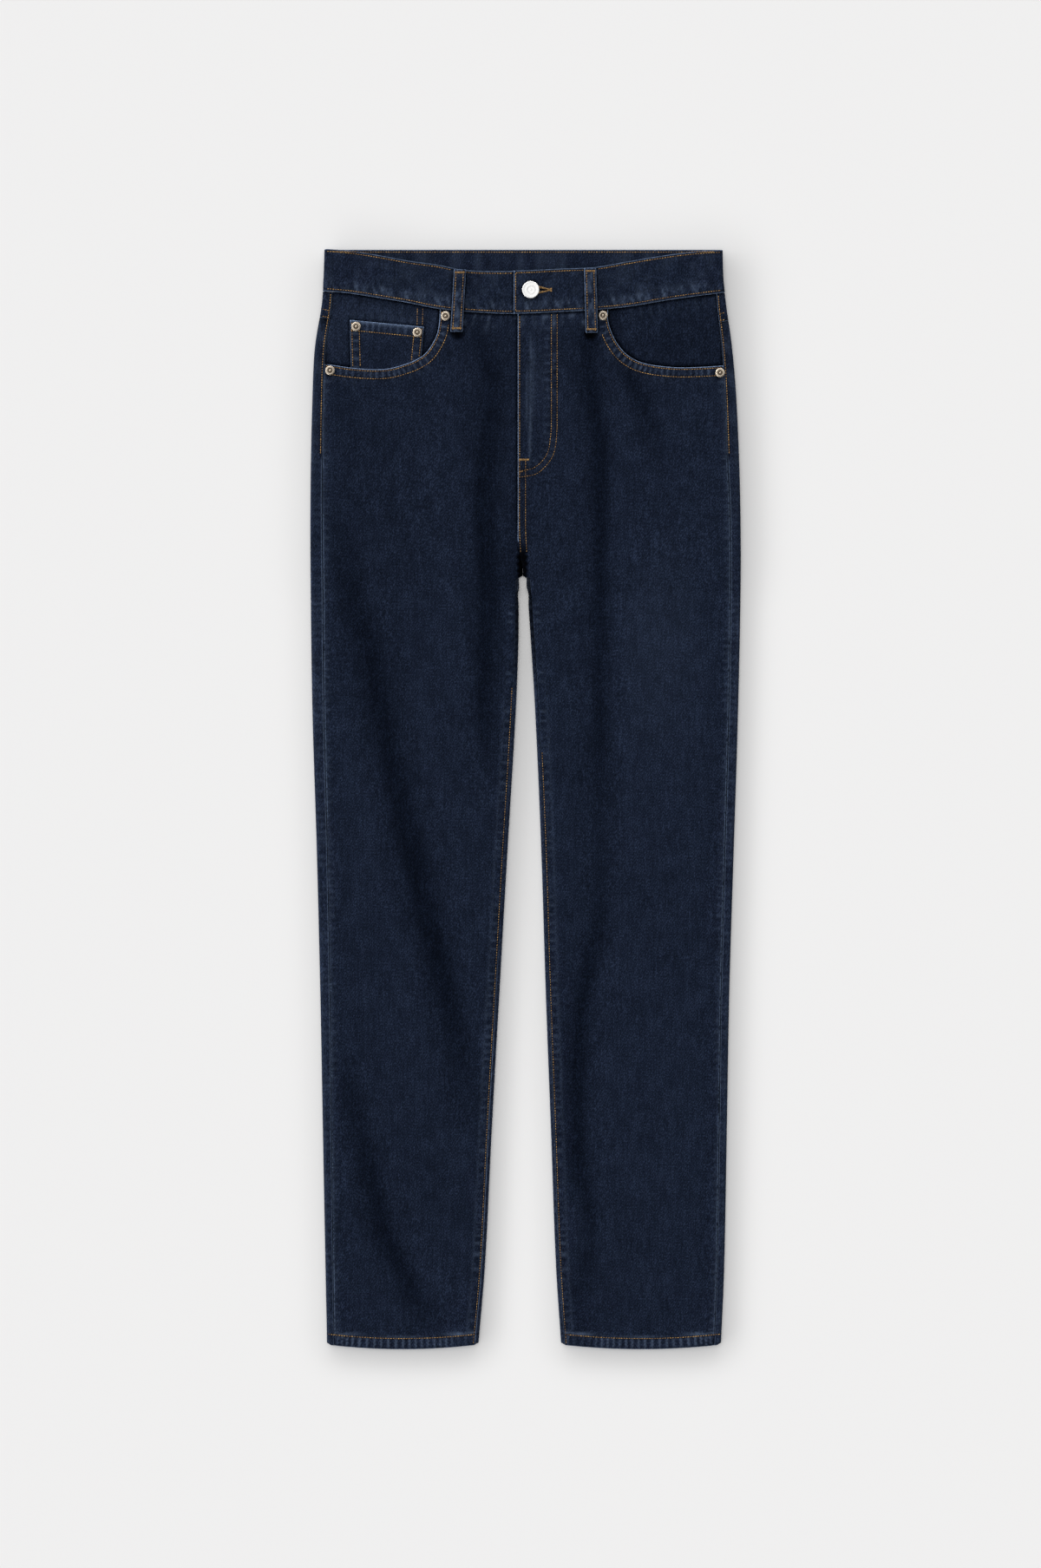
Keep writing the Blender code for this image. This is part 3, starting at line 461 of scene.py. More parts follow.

# %% [markdown]
# ## Small folds
# Besides its main folds, worn denim has dozens of slight ones: creases that fan out of the
# crotch, drag lines under the hips, soft bends behind the knees and at the ankles. No two
# are alike, so each has its own start, end, half width and depth. A negative depth is a
# ridge. The hidden side has the same sort of list.

# %% Small folds
Crease = namedtuple("Crease", "x0 h0 x1 h1 half_width depth")
CREASES = tuple(Crease(*row) for row in (
    (-12, 792, -58, 846, 5.5, 0.42), (-14, 778, -72, 806, 6.5, -0.34),
    (-10, 742, -66, 700, 7.0, 0.36), (-9, 716, -47, 652, 6.0, -0.30),
    (8, 790, 49, 838, 6.0, 0.40), (7, 768, 63, 786, 5.5, -0.36),
    (6, 738, 58, 690, 7.5, 0.34), (10, 700, 43, 637, 6.0, 0.26),
    (-182, 936, -128, 902, 9.0, 0.38), (-196, 884, -150, 842, 8.0, -0.30),
    (-171, 962, -122, 948, 6.0, 0.24), (-96, 1008, -70, 968, 6.5, 0.33),
    (88, 1012, 97, 969, 6.0, 0.30), (128, 962, 176, 927, 8.5, 0.36),
    (160, 948, 199, 889, 9.0, -0.32), (121, 870, 187, 818, 9.5, 0.27),
    (-201, 702, -160, 641, 10.0, 0.30), (-76, 640, -101, 560, 11.0, -0.34),
    (118, 648, 152, 560, 11.0, 0.33), (31, 560, 22, 470, 8.0, 0.27),
    (-186, 468, -120, 430, 8.5, 0.30), (-192, 410, -146, 396, 7.0, -0.26),
    (-60, 444, -34, 402, 7.0, 0.28), (-150, 372, -95, 340, 9.0, 0.25),
    (96, 452, 172, 424, 9.0, 0.30), (118, 398, 190, 381, 7.5, -0.24),
    (29, 418, 66, 441, 7.0, 0.26), (84, 352, 131, 318, 9.0, 0.28),
    (-178, 232, -128, 214, 8.0, 0.22), (-99, 190, -62, 150, 8.5, 0.30),
    (-188, 118, -150, 77, 8.5, 0.31), (-140, 66, -118, 26, 7.5, -0.30),
    (-76, 92, -57, 34, 7.0, 0.27), (-171, 44, -165, 14, 6.0, 0.22),
    (118, 236, 166, 198, 9.5, 0.26), (171, 150, 188, 88, 8.0, 0.27),
    (96, 120, 128, 72, 9.0, -0.28), (140, 58, 151, 20, 7.0, 0.27),
    (88, 52, 84, 17, 6.0, -0.22), (38, 148, 44, 96, 6.0, 0.24),
))
BACK_CREASES = tuple(Crease(*row) for row in (
    (-180, 880, -120, 792, 10.0, 0.50), (-60, 900, -30, 812, 9.0, 0.42),
    (30, 880, 66, 800, 9.5, 0.46), (120, 792, 178, 884, 10.0, 0.44),
    (-150, 720, -60, 664, 10.0, 0.52), (-176, 560, -110, 450, 12.0, 0.55),
    (-130, 424, -52, 392, 9.0, 0.48), (-170, 360, -96, 318, 10.0, 0.40),
    (-150, 230, -92, 120, 12.0, 0.50), (-110, 92, -70, 30, 8.5, 0.35),
    (38, 712, 128, 668, 10.0, 0.50), (92, 600, 150, 470, 12.0, 0.52),
    (60, 430, 150, 404, 9.0, 0.46), (86, 352, 168, 306, 10.0, 0.42),
    (70, 240, 128, 130, 12.0, 0.48), (120, 96, 150, 28, 8.5, 0.36),
))


def creased(creases, x, height):
    """How far a list of small folds presses the cloth in, tapering out at their ends."""
    total = np.zeros(np.broadcast(x, height).shape)
    for crease in creases:
        run = np.array([crease.x1 - crease.x0, crease.h1 - crease.h0])
        length = math.hypot(*run)
        along = ((x - crease.x0) * run[0] + (height - crease.h0) * run[1]) / length
        across = ((x - crease.x0) * run[1] - (height - crease.h0) * run[0]) / length
        across = across + 0.05 * (along - length / 2) ** 2 / length
        share = along / length
        taper = ease(-0.15, 0.35, share) * ease(1.15, 0.6, share)
        total = total + crease.depth * taper * bell(across, crease.half_width)
    return total


print(len(CREASES), "small folds on the front,", len(BACK_CREASES), "on the back")

# %% [markdown]
# ## Seam puckers and wear
# Thread draws cloth together, so beside every stitch row the denim stands up in a string
# of little puckers, and their tops rub pale in the wash. Each `Seam` names its line, the
# band beside it that puckers (near and far, positive to the line's left), how long the
# puckers are, how high, and how pale they have rubbed. The same table feeds the shape and
# the pale `wear` that the denim material reads at each point.

# %% Seam puckers
Seam = namedtuple("Seam", "line near far pitch height rub seed")

J_OUTER = np.array([
    (31.6, 1026), (31.6, 924), (31.5, 912.5), (29.7, 893), (24.9, 881), (15.1, 870.3),
    (7.9, 866.6), (-6.5, 864.1),
])
J_INNER = np.array([
    (25.9, 1026), (25.9, 924), (25.5, 909), (23.0, 891), (17.5, 881.1), (9.1, 873.8),
    (1.9, 871.6), (-6.5, 870.2),
])
heights_leg = stepped(12, 742, 12)
heights_side = stepped(8, 1040, 20)
xs_right = stepped(-198, -6, 8)
xs_left = stepped(-7, 196, 8)


def seams_of(side):
    """The seams that pucker a front panel."""
    sign = SIGN[side]
    inseam = line(inseam_x(side, heights_leg), heights_leg)
    outseam = line(outseam_x(side, heights_side), heights_side)
    xs = xs_right if side == "right" else xs_left
    waist = line(xs, band_bottom(xs))
    hem_xs = stepped(outseam_x(side, 0), inseam_x(side, 0), 6)
    hem = line(hem_xs, hem_height(side, hem_xs))
    seams = [
        Seam(MOUTH_PATH[side], -9.6, -1.2, 5.6, 0.20, 0.30, 11),
        Seam(MOUTH_PATH[side], -17, -9.6, 9.0, 0.10, 0.08, 13),
        Seam(inseam, -8 if sign > 0 else 1.5, -1.5 if sign > 0 else 8, 8.6, 0.16, 0.16, 17),
        Seam(outseam, 0.5 if sign > 0 else -7, 7 if sign > 0 else -0.5, 8.5, 0.10, 0.10, 19),
        Seam(waist, -13, -0.5, 9.5, 0.12, 0.07, 23),
        Seam(hem, 0.5 if sign < 0 else -11, 11 if sign < 0 else -0.5, 6.5, 0.30, 0.44, 29),
    ]
    if side == "left":
        seams.append(Seam(J_OUTER, -5, 1, 8.0, 0.22, 0.12, 31))
        seams.append(Seam(J_INNER, -8, 2, 9.0, 0.20, 0.10, 37))
    return seams


def puckered(seams, x, height):
    """(height of the puckers, how far they have rubbed pale) beside a list of seams."""
    raised = np.zeros(np.broadcast(x, height).shape)
    rubbed = raised.copy()
    for seam in seams:
        off, run, _ = distance(seam.line, x, height)
        middle, half = (seam.near + seam.far) / 2, (seam.far - seam.near) / 2
        window = ease(half * 1.15, half * 0.55, np.abs(off - middle))
        wave = ripple(run, seam.pitch, seam.seed)
        raised = raised + seam.height * window * wave
        rubbed = rubbed + seam.rub * window * np.clip(wave - 0.25, 0, 1)
    return raised, rubbed


def worn_edge(off, run, width, seed):
    """1 on a worn edge, falling off over its width, stronger in some places than others."""
    uneven = 0.72 + 0.28 * rumple(run, 0, 9, 1, seed) + 0.15 * rumple(run, 0, 3, 1, seed + 1)
    return bell(off, width) * uneven


print("seams on the left front:", len(seams_of("left")))

# %% [markdown]
# ## Tone, with painted light and shade
# The main folds are darkened in the denim's colour, as painted shade, and
# `tone_and_painted_shade` says where. A short list of wide, soft patches paints one shin or
# hip a little darker or paler than its neighbour, as painted shade and painted light. Each
# `Shade` follows a fold with its own reach to the west and east, since one flank is often
# steeper.

# %% Tone
Patch = namedtuple("Patch", "x height half_x half_height amount")
# Each patch is painted shade where its amount is positive and painted light where it is negative.
LIGHT_AND_SHADE_PATCHES = tuple(Patch(*row) for row in (
    (8, 903, 12, 34, 0.35), (-140, 160, 52, 110, 0.08), (150, 1005, 44, 30, 0.16),
    (-4, 800, 14, 60, 0.30), (130, 690, 60, 140, -0.26), (150, 300, 56, 200, -0.10),
    (-160, 555, 40, 90, -0.12), (-75, 430, 34, 110, -0.05), (-74, 200, 36, 90, 0.02),
    (-150, 905, 60, 60, 0.05), (62, 975, 14, 40, 0.15), (150, 780, 30, 90, -0.05),
    (-120, 40, 60, 40, -0.05), (14, 960, 12, 50, -0.28), (-125, 760, 60, 130, 0.10),
    (-80, 760, 16, 130, -0.16), (-66, 300, 16, 90, -0.06), (-170, 900, 20, 60, 0.14),
))
TONE = 0.145
Shade = namedtuple("Shade", "west east places")
PAINTED_FOLD_SHADES = (
    Shade(9, 18, (
        (-50, 1016, 0.5), (-37, 965, 0.75), (-39, 900, 0.9), (-43, 850, 1.0), (-39, 760, 1.0),
        (-41, 680, 0.85), (-41, 620, 0.75), (-37, 570, 0.3),
    )),
    Shade(17, 17, (
        (-181, 821, 0.3), (-172, 745, 0.6), (-151, 680, 0.8), (-137, 600, 0.9), (-113, 500, 1.0),
        (-92, 410, 1.0), (-70, 320, 0.85), (-58, 240, 0.4),
    )),
    Shade(16, 11, (
        (-176, 279, 0.3), (-153, 180, 0.7), (-136, 110, 0.75), (-112, 60, 0.75), (-90, 30, 0.4),
    )),
    Shade(11, 11, (
        (61, 1002, 0.5), (67, 950, 0.8), (74, 895, 0.95), (75, 780, 0.95), (75, 690, 0.85), (74, 590, 0.8),
        (76, 540, 0.4), (74, 470, 0.5), (72, 420, 0.65), (58, 350, 0.8), (53, 280, 0.95),
        (53, 185, 0.85), (66, 120, 0.5), (56, 60, 0.5), (62, 20, 0.3),
    )),
    Shade(12, 12, ((98, 976, 0.7), (116, 937, 0.7), (137, 895, 0.25))),
)
SHADE_PATH = [smooth_path([place[:2] for place in shade.places], 5) for shade in PAINTED_FOLD_SHADES]


def tone_with_painted_light_and_shade(x, height):
    """Painted shade in the colour: 1 in the bottom of the deepest fold, a little (TONE) on plain cloth,
    and below that on the patches of painted light.
    """
    tone_and_painted_shade = np.full(np.broadcast(x, height).shape, TONE)
    for shade, path in zip(PAINTED_FOLD_SHADES, SHADE_PATH):
        off, _, share = distance(path, x, height)
        strengths = [place[2] for place in shade.places]
        strength = np.interp(share * (len(strengths) - 1), range(len(strengths)), strengths)
        tone_and_painted_shade = tone_and_painted_shade + strength * bell(off, np.where(off > 0, shade.east, shade.west))
    for patch in LIGHT_AND_SHADE_PATCHES:
        away = ((x - patch.x) / patch.half_x) ** 2 + ((height - patch.height) / patch.half_height) ** 2
        tone_and_painted_shade = tone_and_painted_shade + patch.amount * np.exp(-away)
    return np.clip(tone_and_painted_shade, -0.2, 1.1)


def painted_contact_shadow(x, height):
    """Painted shadow: the dark line on cloth just outside a stud or a belt loop that stands on it."""
    dark = np.zeros(np.broadcast(x, height).shape)
    studs = [(centre, RIVET_RADIUS) for _, centre in RIVETS.values()]
    for (stud_x, stud_h), radius in studs + [((BUTTON_X, BUTTON_HEIGHT), BUTTON_RADIUS)]:
        away = np.hypot(x - stud_x, height - stud_h) - radius
        dark = dark + 1.7 * bell(np.maximum(away, 0), 1.2) * (away > -2)
    for _, top, foot in FRONT_LOOPS.values():
        away = np.abs(distance(np.array([foot, top], float), x, height)[0]) - LOOP_WIDTH / 2
        dark = dark + 1.7 * bell(np.maximum(away, 0), 1.3)
    return dark


print("tone patches:", len(LIGHT_AND_SHADE_PATCHES))

# %% [markdown]
# ## Meshes and objects
# Blender keeps a mesh, its points and faces, apart from the object that shows it. These
# helpers pass whole arrays to and from a mesh, far quicker than a loop over its points.


# %% Meshes and objects
def give(mesh, name, values):
    """Store one number for each point of a mesh."""
    layer = mesh.attributes.new(name, "FLOAT", "POINT")
    layer.data.foreach_set("value", np.asarray(values, np.float32))


def points_of(mesh):
    """The mesh's points as rows of an array."""
    where = np.zeros(len(mesh.vertices) * 3)
    mesh.vertices.foreach_get("co", where)
    return where.reshape(-1, 3)


def triangles_of(mesh):
    """The mesh's triangles as rows of three point numbers."""
    mesh.calc_loop_triangles()
    corners = np.zeros(len(mesh.loop_triangles) * 3, int)
    mesh.loop_triangles.foreach_get("vertices", corners)
    return corners.reshape(-1, 3)


def built(bm, name):
    """Turn a bmesh into a mesh and let the bmesh go."""
    mesh = bpy.data.meshes.new(name)
    bm.to_mesh(mesh)
    bm.free()
    return mesh


def placed(name, mesh, finishes=()):
    """Put a mesh in the scene as an object, with its finishes and smooth shading."""
    made = bpy.data.objects.new(name, mesh)
    bpy.context.scene.collection.objects.link(made)
    for finish in finishes:
        mesh.materials.append(finish)
    if finishes:
        mesh.polygons.foreach_set("use_smooth", np.ones(len(mesh.polygons), bool))
    return made


print("mesh helpers ready")

# %% [markdown]
# ## Lines on the cloth
# A pattern's edges and its stitch rows are paths. A path can be given evenly spaced points,
# moved sideways, cut to a stretch, or joined with others into a closed outline.


# %% Lines on the cloth
def spaced(path, step):
    """The same path with its points an even step apart."""
    path = np.asarray(path, float)
    runs = np.concatenate([[0], np.cumsum(np.hypot(*np.diff(path, axis=0).T))])
    at = np.linspace(0, runs[-1], max(round(runs[-1] / step), 1) + 1)
    return np.column_stack([np.interp(at, runs, path[:, 0]), np.interp(at, runs, path[:, 1])])


def beside(path, off):
    """A path moved sideways, to its left when off is positive."""
    path = np.asarray(path, float)
    run = np.gradient(path, axis=0)
    length = np.hypot(*run.T)[:, None]
    return path + np.column_stack([-run[:, 1], run[:, 0]]) / length * off


def within(path, low, high, axis=0):
    """The stretch of a path between two values of x (axis 0) or height (axis 1)."""
    path = spaced(path, 0.5)
    return path[(path[:, axis] > low) & (path[:, axis] < high)]


def closed(paths, step):
    """One outline from paths that follow each other."""
    loop = np.vstack(list(paths) + [paths[0][:1]])
    loop = loop[np.concatenate([[True], np.hypot(*np.diff(loop, axis=0).T) > 0.2])]
    corners = [loop[0]]
    for a, b in zip(loop, loop[1:]):
        parts = max(math.ceil(math.hypot(*(b - a)) / step), 1)
        corners += [mix(a, b, k / parts) for k in range(1, parts + 1)]
    return np.array(corners[:-1])


print("right pocket mouth: %d mm" % (len(spaced(MOUTH_PATH["right"], 1.0)) - 1))

# %% [markdown]
# ## Filling an outline
# A flat-cut piece is its outline filled with points: close together beside the seams, where
# the puckers are, and wider apart in the plain of the leg. Coarse maps of squares say which
# is which. Points also lie on each stitch row, so that its groove is sharp.


# %% Filling an outline
def near_mask(samples, reach, cell, low, size):
    """A coarse map that is True within reach of any of the sample points."""
    mask = np.zeros(size, bool)
    at = np.floor((samples - low) / cell).astype(int)
    cells = math.ceil(reach / cell)
    for i in range(-cells, cells + 1):
        for j in range(-cells, cells + 1):
            if math.hypot(i, j) * cell <= reach:
                a = np.clip(at[:, 0] + i, 0, size[0] - 1)
                b = np.clip(at[:, 1] + j, 0, size[1] - 1)
                mask[a, b] = True
    return mask


def filling(outline, lines, fine=1.9, coarse=3.8, reach=12.0, clear=1.0, rows=()):
    """Points inside an outline, close together beside the given lines, and on the rows."""
    margin = 5.0
    low = outline.min(axis=0) - margin
    high = outline.max(axis=0) + margin
    near_cell, edge_cell = 2.5, 0.5
    samples = np.vstack([spaced(path, 2.0) for path in lines])
    samples = samples[((samples > low) & (samples < high)).all(axis=1)]
    near_size = tuple(np.ceil((high - low) / near_cell).astype(int) + 1)
    near = near_mask(samples, reach, near_cell, low, near_size)
    edge_size = tuple(np.ceil((high - low) / edge_cell).astype(int) + 1)
    edge = near_mask(outline, clear, edge_cell, low, edge_size)
    starts, ends = outline, np.roll(outline, -1, axis=0)
    found = []
    for path in rows:
        on_row = spaced(path, 1.5)
        cell = np.floor((on_row - low) / edge_cell).astype(int)
        cell = np.clip(cell, 0, np.array(edge_size) - 1)
        x, y = on_row[:, :1], on_row[:, 1:]
        wide, tall = (ends - starts).T
        slope = wide / np.where(tall == 0, 1, tall)
        passes = (starts[:, 1] > y) != (ends[:, 1] > y)
        passes &= x < starts[:, 0] + slope * (y - starts[:, 1])
        inside = passes.sum(axis=1) % 2 == 1
        found.append(on_row[inside & ~edge[cell[:, 0], cell[:, 1]]])
        edge |= near_mask(found[-1], 0.9, edge_cell, low, edge_size)
    for step, wanted in ((fine, True), (coarse, False)):
        for row, y in enumerate(np.arange(low[1], high[1], step * 0.87)):
            across = (starts[:, 1] > y) != (ends[:, 1] > y)
            a, b = starts[across], ends[across]
            if not len(a):
                continue
            cuts = np.sort(a[:, 0] + (b[:, 0] - a[:, 0]) * (y - a[:, 1]) / (b[:, 1] - a[:, 1]))
            xs = np.arange(low[0] + step * 0.5 * (row % 2), high[0], step)
            xs = xs[np.searchsorted(cuts, xs) % 2 == 1]
            points = line(xs, y)
            cell = np.floor((points - low) / near_cell).astype(int)
            kept = near[cell[:, 0], cell[:, 1]] == wanted
            cell = np.floor((points - low) / edge_cell).astype(int)
            kept &= ~edge[cell[:, 0], cell[:, 1]]
            found.append(points[kept])
    return np.vstack(found)


print("steps between points:", filling.__defaults__[:2], "mm")

# %% [markdown]
# ## Cutting and dressing
# Blender's constrained Delaunay filler joins the points into even triangles, which no
# primitive or grid does for an outline with a curved pocket mouth. Each point gets its
# height from the fields. Only the outer face is made: a Solidify modifier gives the cloth
# its thickness inwards. Pieces that turn round an edge start as a grid instead.

# %% Cutting and dressing
REACH = 10.0


def marks(wear, tone_and_painted_shade, edges=(), rows=()):
    """The numbers that the denim reads at each point. Two say how close a worn edge and a
    stitch row are, as 10 mm less the distance. A distance runs evenly across a face, so
    the material can draw a line that is much finer than the mesh."""
    off = np.full(np.shape(wear), REACH)
    pale, sewn = np.zeros(np.shape(wear)), off.copy()
    for away, strength in edges:
        pale = np.where(np.abs(away) < off, strength, pale)
        off = np.minimum(off, np.abs(away))
    for away in rows:
        sewn = np.minimum(sewn, np.abs(away))
    # A negative tone_and_painted_shade is painted light, and is added to the pale wear.
    return {
        "wear": np.clip(wear + 0.08 * np.clip(-tone_and_painted_shade, 0, 1), 0, 1),
        "tone_and_painted_shade": np.clip(tone_and_painted_shade, 0, None), "pale": pale, "edge": REACH - off, "sewn": REACH - sewn,
    }


def cut_cloth(name, outline, inside, fields):
    """A flat-cut piece: fields(x, height) gives each point's height and its numbers."""
    points = [Vector(p) for p in np.vstack([outline, inside])]
    verts, _, faces, *_ = delaunay_2d_cdt(points, [], [list(range(len(outline)))], 1, 1e-6)
    flat = np.array([v[:] for v in verts])
    x, height = flat[:, 0], flat[:, 1]
    z, numbers = fields(x, height)
    mesh = bpy.data.meshes.new(name)
    mesh.from_pydata((np.column_stack([x, height - LENGTH / 2, z]) * MM).tolist(), [], faces)
    for key, values in numbers.items():
        give(mesh, key, values)
    return mesh


def grid_cloth(name, columns, rows, place_of, around=False):
    """A grid of cloth, its points placed by column and row as whole arrays."""
    bm = bmesh.new()
    bmesh.ops.create_grid(bm, x_segments=columns, y_segments=rows, size=1)
    grid = np.array([v.co[:] for v in bm.verts])
    column = np.round((grid[:, 0] + 1) / 2 * columns)
    row = np.round((grid[:, 1] + 1) / 2 * rows)
    places, numbers = place_of(column, row)
    mesh = built(bm, name)
    mesh.vertices.foreach_set("co", (np.asarray(places) * MM).ravel())
    for key, values in numbers.items():
        give(mesh, key, values)
    if around:
        bm = bmesh.new()
        bm.from_mesh(mesh)
        bmesh.ops.remove_doubles(bm, verts=bm.verts, dist=0.00002)
        bmesh.ops.holes_fill(bm, edges=bm.edges, sides=0)
        bmesh.ops.recalc_face_normals(bm, faces=bm.faces)
        bm.to_mesh(mesh)
        bm.free()
    return mesh


print("the denim reads:", ", ".join(marks(np.zeros(1), np.zeros(1))))

# %% [markdown]
# ## Dressing the solids
# Each piece takes the place of its plain solid and rides with the garment.

# %% Dressing the solids
CLOTH = []


def dress(name, mesh, node, finishes, wall=0.0, hem_side=None):
    """Make an object of a mesh, in place of its plain solid."""
    made = placed(name, mesh, finishes)
    if hem_side:
        x, y, _ = points_of(mesh).T / MM
        above = y + LENGTH / 2 - hem_height(hem_side, x)
        weights = mix(1, DENIM / HEM_WALL, ease(HEM_DEPTH, HEM_DEPTH + 2, above))
        group = made.vertex_groups.new(name="wall")
        for k, weight in enumerate(weights):
            group.add([k], float(weight), "REPLACE")
    if wall:
        solid = made.modifiers.new("wall", "SOLIDIFY")
        solid.thickness = wall * MM
        solid.offset = -1
        solid.use_even_offset = False
        if len(finishes) > 1:
            solid.material_offset = 1
        if hem_side:
            solid.vertex_group = "wall"
    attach(made, "root")
    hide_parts(node)
    CLOTH.append(made)
    return made


def declare(made):
    """Work out the corners of a piece's triangles; nothing is kept from them."""
    where = points_of(made.data)
    a, b, c = (where[corner] for corner in triangles_of(made.data).T)


print("dressing helpers ready")

# %% [markdown]
# ## Colours and nodes
# Colours are written as the sRGB hex values that a designer reads off a swatch, and one
# function turns them to the linear values that shaders use. One small function adds any
# node with its settings and links.


# %% Colours and nodes
def linear(code):
    channels = [int(code[k:k + 2], 16) / 255 for k in (1, 3, 5)]
    turned = [c / 12.92 if c <= 0.04045 else ((c + 0.055) / 1.055) ** 2.4 for c in channels]
    return (*turned, 1.0)


def add(tree, kind, inputs=None, stops=(), **settings):
    """Add a node: set its options and colour stops, fill or link its inputs, give its outputs."""
    made = tree.nodes.new("ShaderNode" + kind)
    for key, value in settings.items():
        setattr(made, key, value)
    for key, value in (inputs or {}).items():
        if isinstance(value, bpy.types.NodeSocket):
            tree.links.new(value, made.inputs[key])
        else:
            made.inputs[key].default_value = linear(value) if isinstance(value, str) else value
    if stops:
        elements = made.color_ramp.elements
        while len(elements) < len(stops):
            elements.new(0.5)
        for element, (position, colour) in zip(elements, stops):
            element.position = position
            element.color = linear(colour) if isinstance(colour, str) else colour
    return made.outputs


def new_finish(name, inputs):
    """A material with only its shader, ready for more nodes."""
    finish = bpy.data.materials.new(name)
    finish.use_nodes = True
    shader = finish.node_tree.nodes["Principled BSDF"]
    for key, value in inputs.items():
        shader.inputs[key].default_value = value
    return finish, finish.node_tree, shader


print("denim navy in linear light:", [round(c, 4) for c in linear("#192030")])

# %% [markdown]
# ## Dark indigo denim
# Denim is a cotton twill: blue warp threads down the leg over white weft threads, about 25
# warps to the centimetre, so a thread is 0.4 mm wide. That is finer than the camera can
# resolve, so the grain is drawn at about 1.2 mm and the slubs, the thick places in a warp
# thread, as streaks 18 mm long, over patches of uneven dye 12 mm wide. The twill's ridges
# are drawn 2 mm apart. The eye reads the grain as cloth and the streaks as denim.
# Rope-dyed indigo only coats each thread, so where `wear` is high the pale core shows.


# %% Denim
def denim_finish(name, dark, middle, pale, worn, painted_shade_colour):
    finish, tree, shader = new_finish(name, {
        "Roughness": 0.85, "Specular IOR Level": 0.02, "IOR": 1.5,
    })
    place = add(tree, "TexCoord")["Object"]
    noise = {}
    for key, scale, detail, rough, stretch in (
        ("grain", 850, 2.0, 0.6, (1, 0.7, 1)), ("slub", 620, 1.0, 0.5, (1, 0.09, 1)),
        ("mottle", 85, 3.0, 0.6, (1, 0.8, 1)), ("rub", 420, 2.0, 0.6, (1, 1, 1)),
    ):
        where = add(tree, "Mapping", {"Vector": place, "Scale": stretch})[0]
        noise[key] = add(tree, "TexNoise", {
            "Vector": where, "Scale": scale, "Detail": detail, "Roughness": rough,
        })[0]
    turned = add(tree, "Mapping", {"Vector": place, "Rotation": (0, 0, math.radians(32))})[0]
    twill = add(tree, "TexWave", {
        "Vector": turned, "Scale": 150.0, "Distortion": 2.5, "Detail": 1.0, "Detail Scale": 2.0,
    }, wave_type="BANDS", bands_direction="X")[1]
    thread = 0.06
    for part, share in (
        (twill, 0.05), (noise["mottle"], 0.16), (noise["slub"], 0.13), (noise["grain"], 0.54),
    ):
        thread = add(tree, "Math", {0: part, 1: share, 2: thread}, operation="MULTIPLY_ADD")[0]
    colour = add(tree, "ValToRGB", {"Fac": thread}, stops=(
        (0.30, dark), (0.50, middle), (0.71, pale),
    ))["Color"]

    number = {}
    for key in ("tone_and_painted_shade", "wear", "pale", "edge", "sewn"):
        number[key] = add(tree, "Attribute", attribute_name=key)["Fac"]
    drawn = {}
    for key, start, full in (("edge", 0.8, 0.2), ("sewn", 1.15, 0.3)):
        drawn[key] = add(tree, "MapRange", {
            "Value": number[key], "From Min": REACH - start, "From Max": REACH - full,
        }, interpolation_type="SMOOTHSTEP")[0]
    # Past 1.1, tone_and_painted_shade is painted contact shadow, multiplied in with #4C4C55 to near black.
    painted_contact_shadow = add(tree, "Math", {0: number["tone_and_painted_shade"], 1: 1.1}, operation="SUBTRACT", use_clamp=True)[0]
    patchy = add(tree, "Math", {0: noise["grain"], 1: 0.45}, operation="ADD")[0]
    rubbed = add(tree, "Math", {0: number["wear"], 1: patchy}, operation="MULTIPLY", use_clamp=True)[0]
    broken = add(tree, "Math", {0: noise["rub"], 1: 2.4}, operation="MULTIPLY")[0]
    broken = add(tree, "Math", {0: broken, 1: 0.45}, operation="SUBTRACT", use_clamp=True)[0]
    pale_edge = add(tree, "Math", {0: drawn["edge"], 1: number["pale"]}, operation="MULTIPLY")[0]
    pale_edge = add(tree, "Math", {0: pale_edge, 1: broken}, operation="MULTIPLY")[0]
    rubbed = add(tree, "Math", {0: rubbed, 1: pale_edge}, operation="MAXIMUM")[0]
    # Painted shade in the groove of each stitch row, multiplied into the colour.
    painted_groove_shade = add(tree, "Math", {0: drawn["sewn"], 1: 0.8}, operation="MULTIPLY")[0]
    # Colour layers from the bottom up: painted shade of folds and under edges, painted contact shadow,
    # pale wear, and painted shade in the stitch grooves.
    for share, tint, blend in (
        (number["tone_and_painted_shade"], painted_shade_colour, "MULTIPLY"), (painted_contact_shadow, "#4C4C55", "MULTIPLY"),
        (rubbed, worn, "MIX"), (painted_groove_shade, painted_shade_colour, "MULTIPLY"),
    ):
        colour = add(tree, "Mix", {
            0: share, 6: colour, 7: tint,
        }, data_type="RGBA", blend_type=blend)[2]
    tree.links.new(colour, shader.inputs["Base Color"])

    relief = noise["grain"]
    for part, share in ((twill, 0.25), (drawn["sewn"], -0.7)):
        relief = add(tree, "Math", {0: part, 1: share, 2: relief}, operation="MULTIPLY_ADD")[0]
    bump = add(tree, "Bump", {"Height": relief, "Distance": 0.0003, "Strength": 0.45})[0]
    tree.links.new(bump, shader.inputs["Normal"])
    return finish


# Each finish's last colour is the multiplier for its painted shade.
DENIM_OUT = denim_finish("dark_indigo_denim", "#05080F", "#151C2B", "#303B52", "#8499BA", "#A1A8AF")
DENIM_IN = denim_finish("denim_wrong_side", "#2E3644", "#495364", "#6A7484", "#93A2B8", "#C0C4CC")
print("materials:", DENIM_OUT.name, DENIM_IN.name)

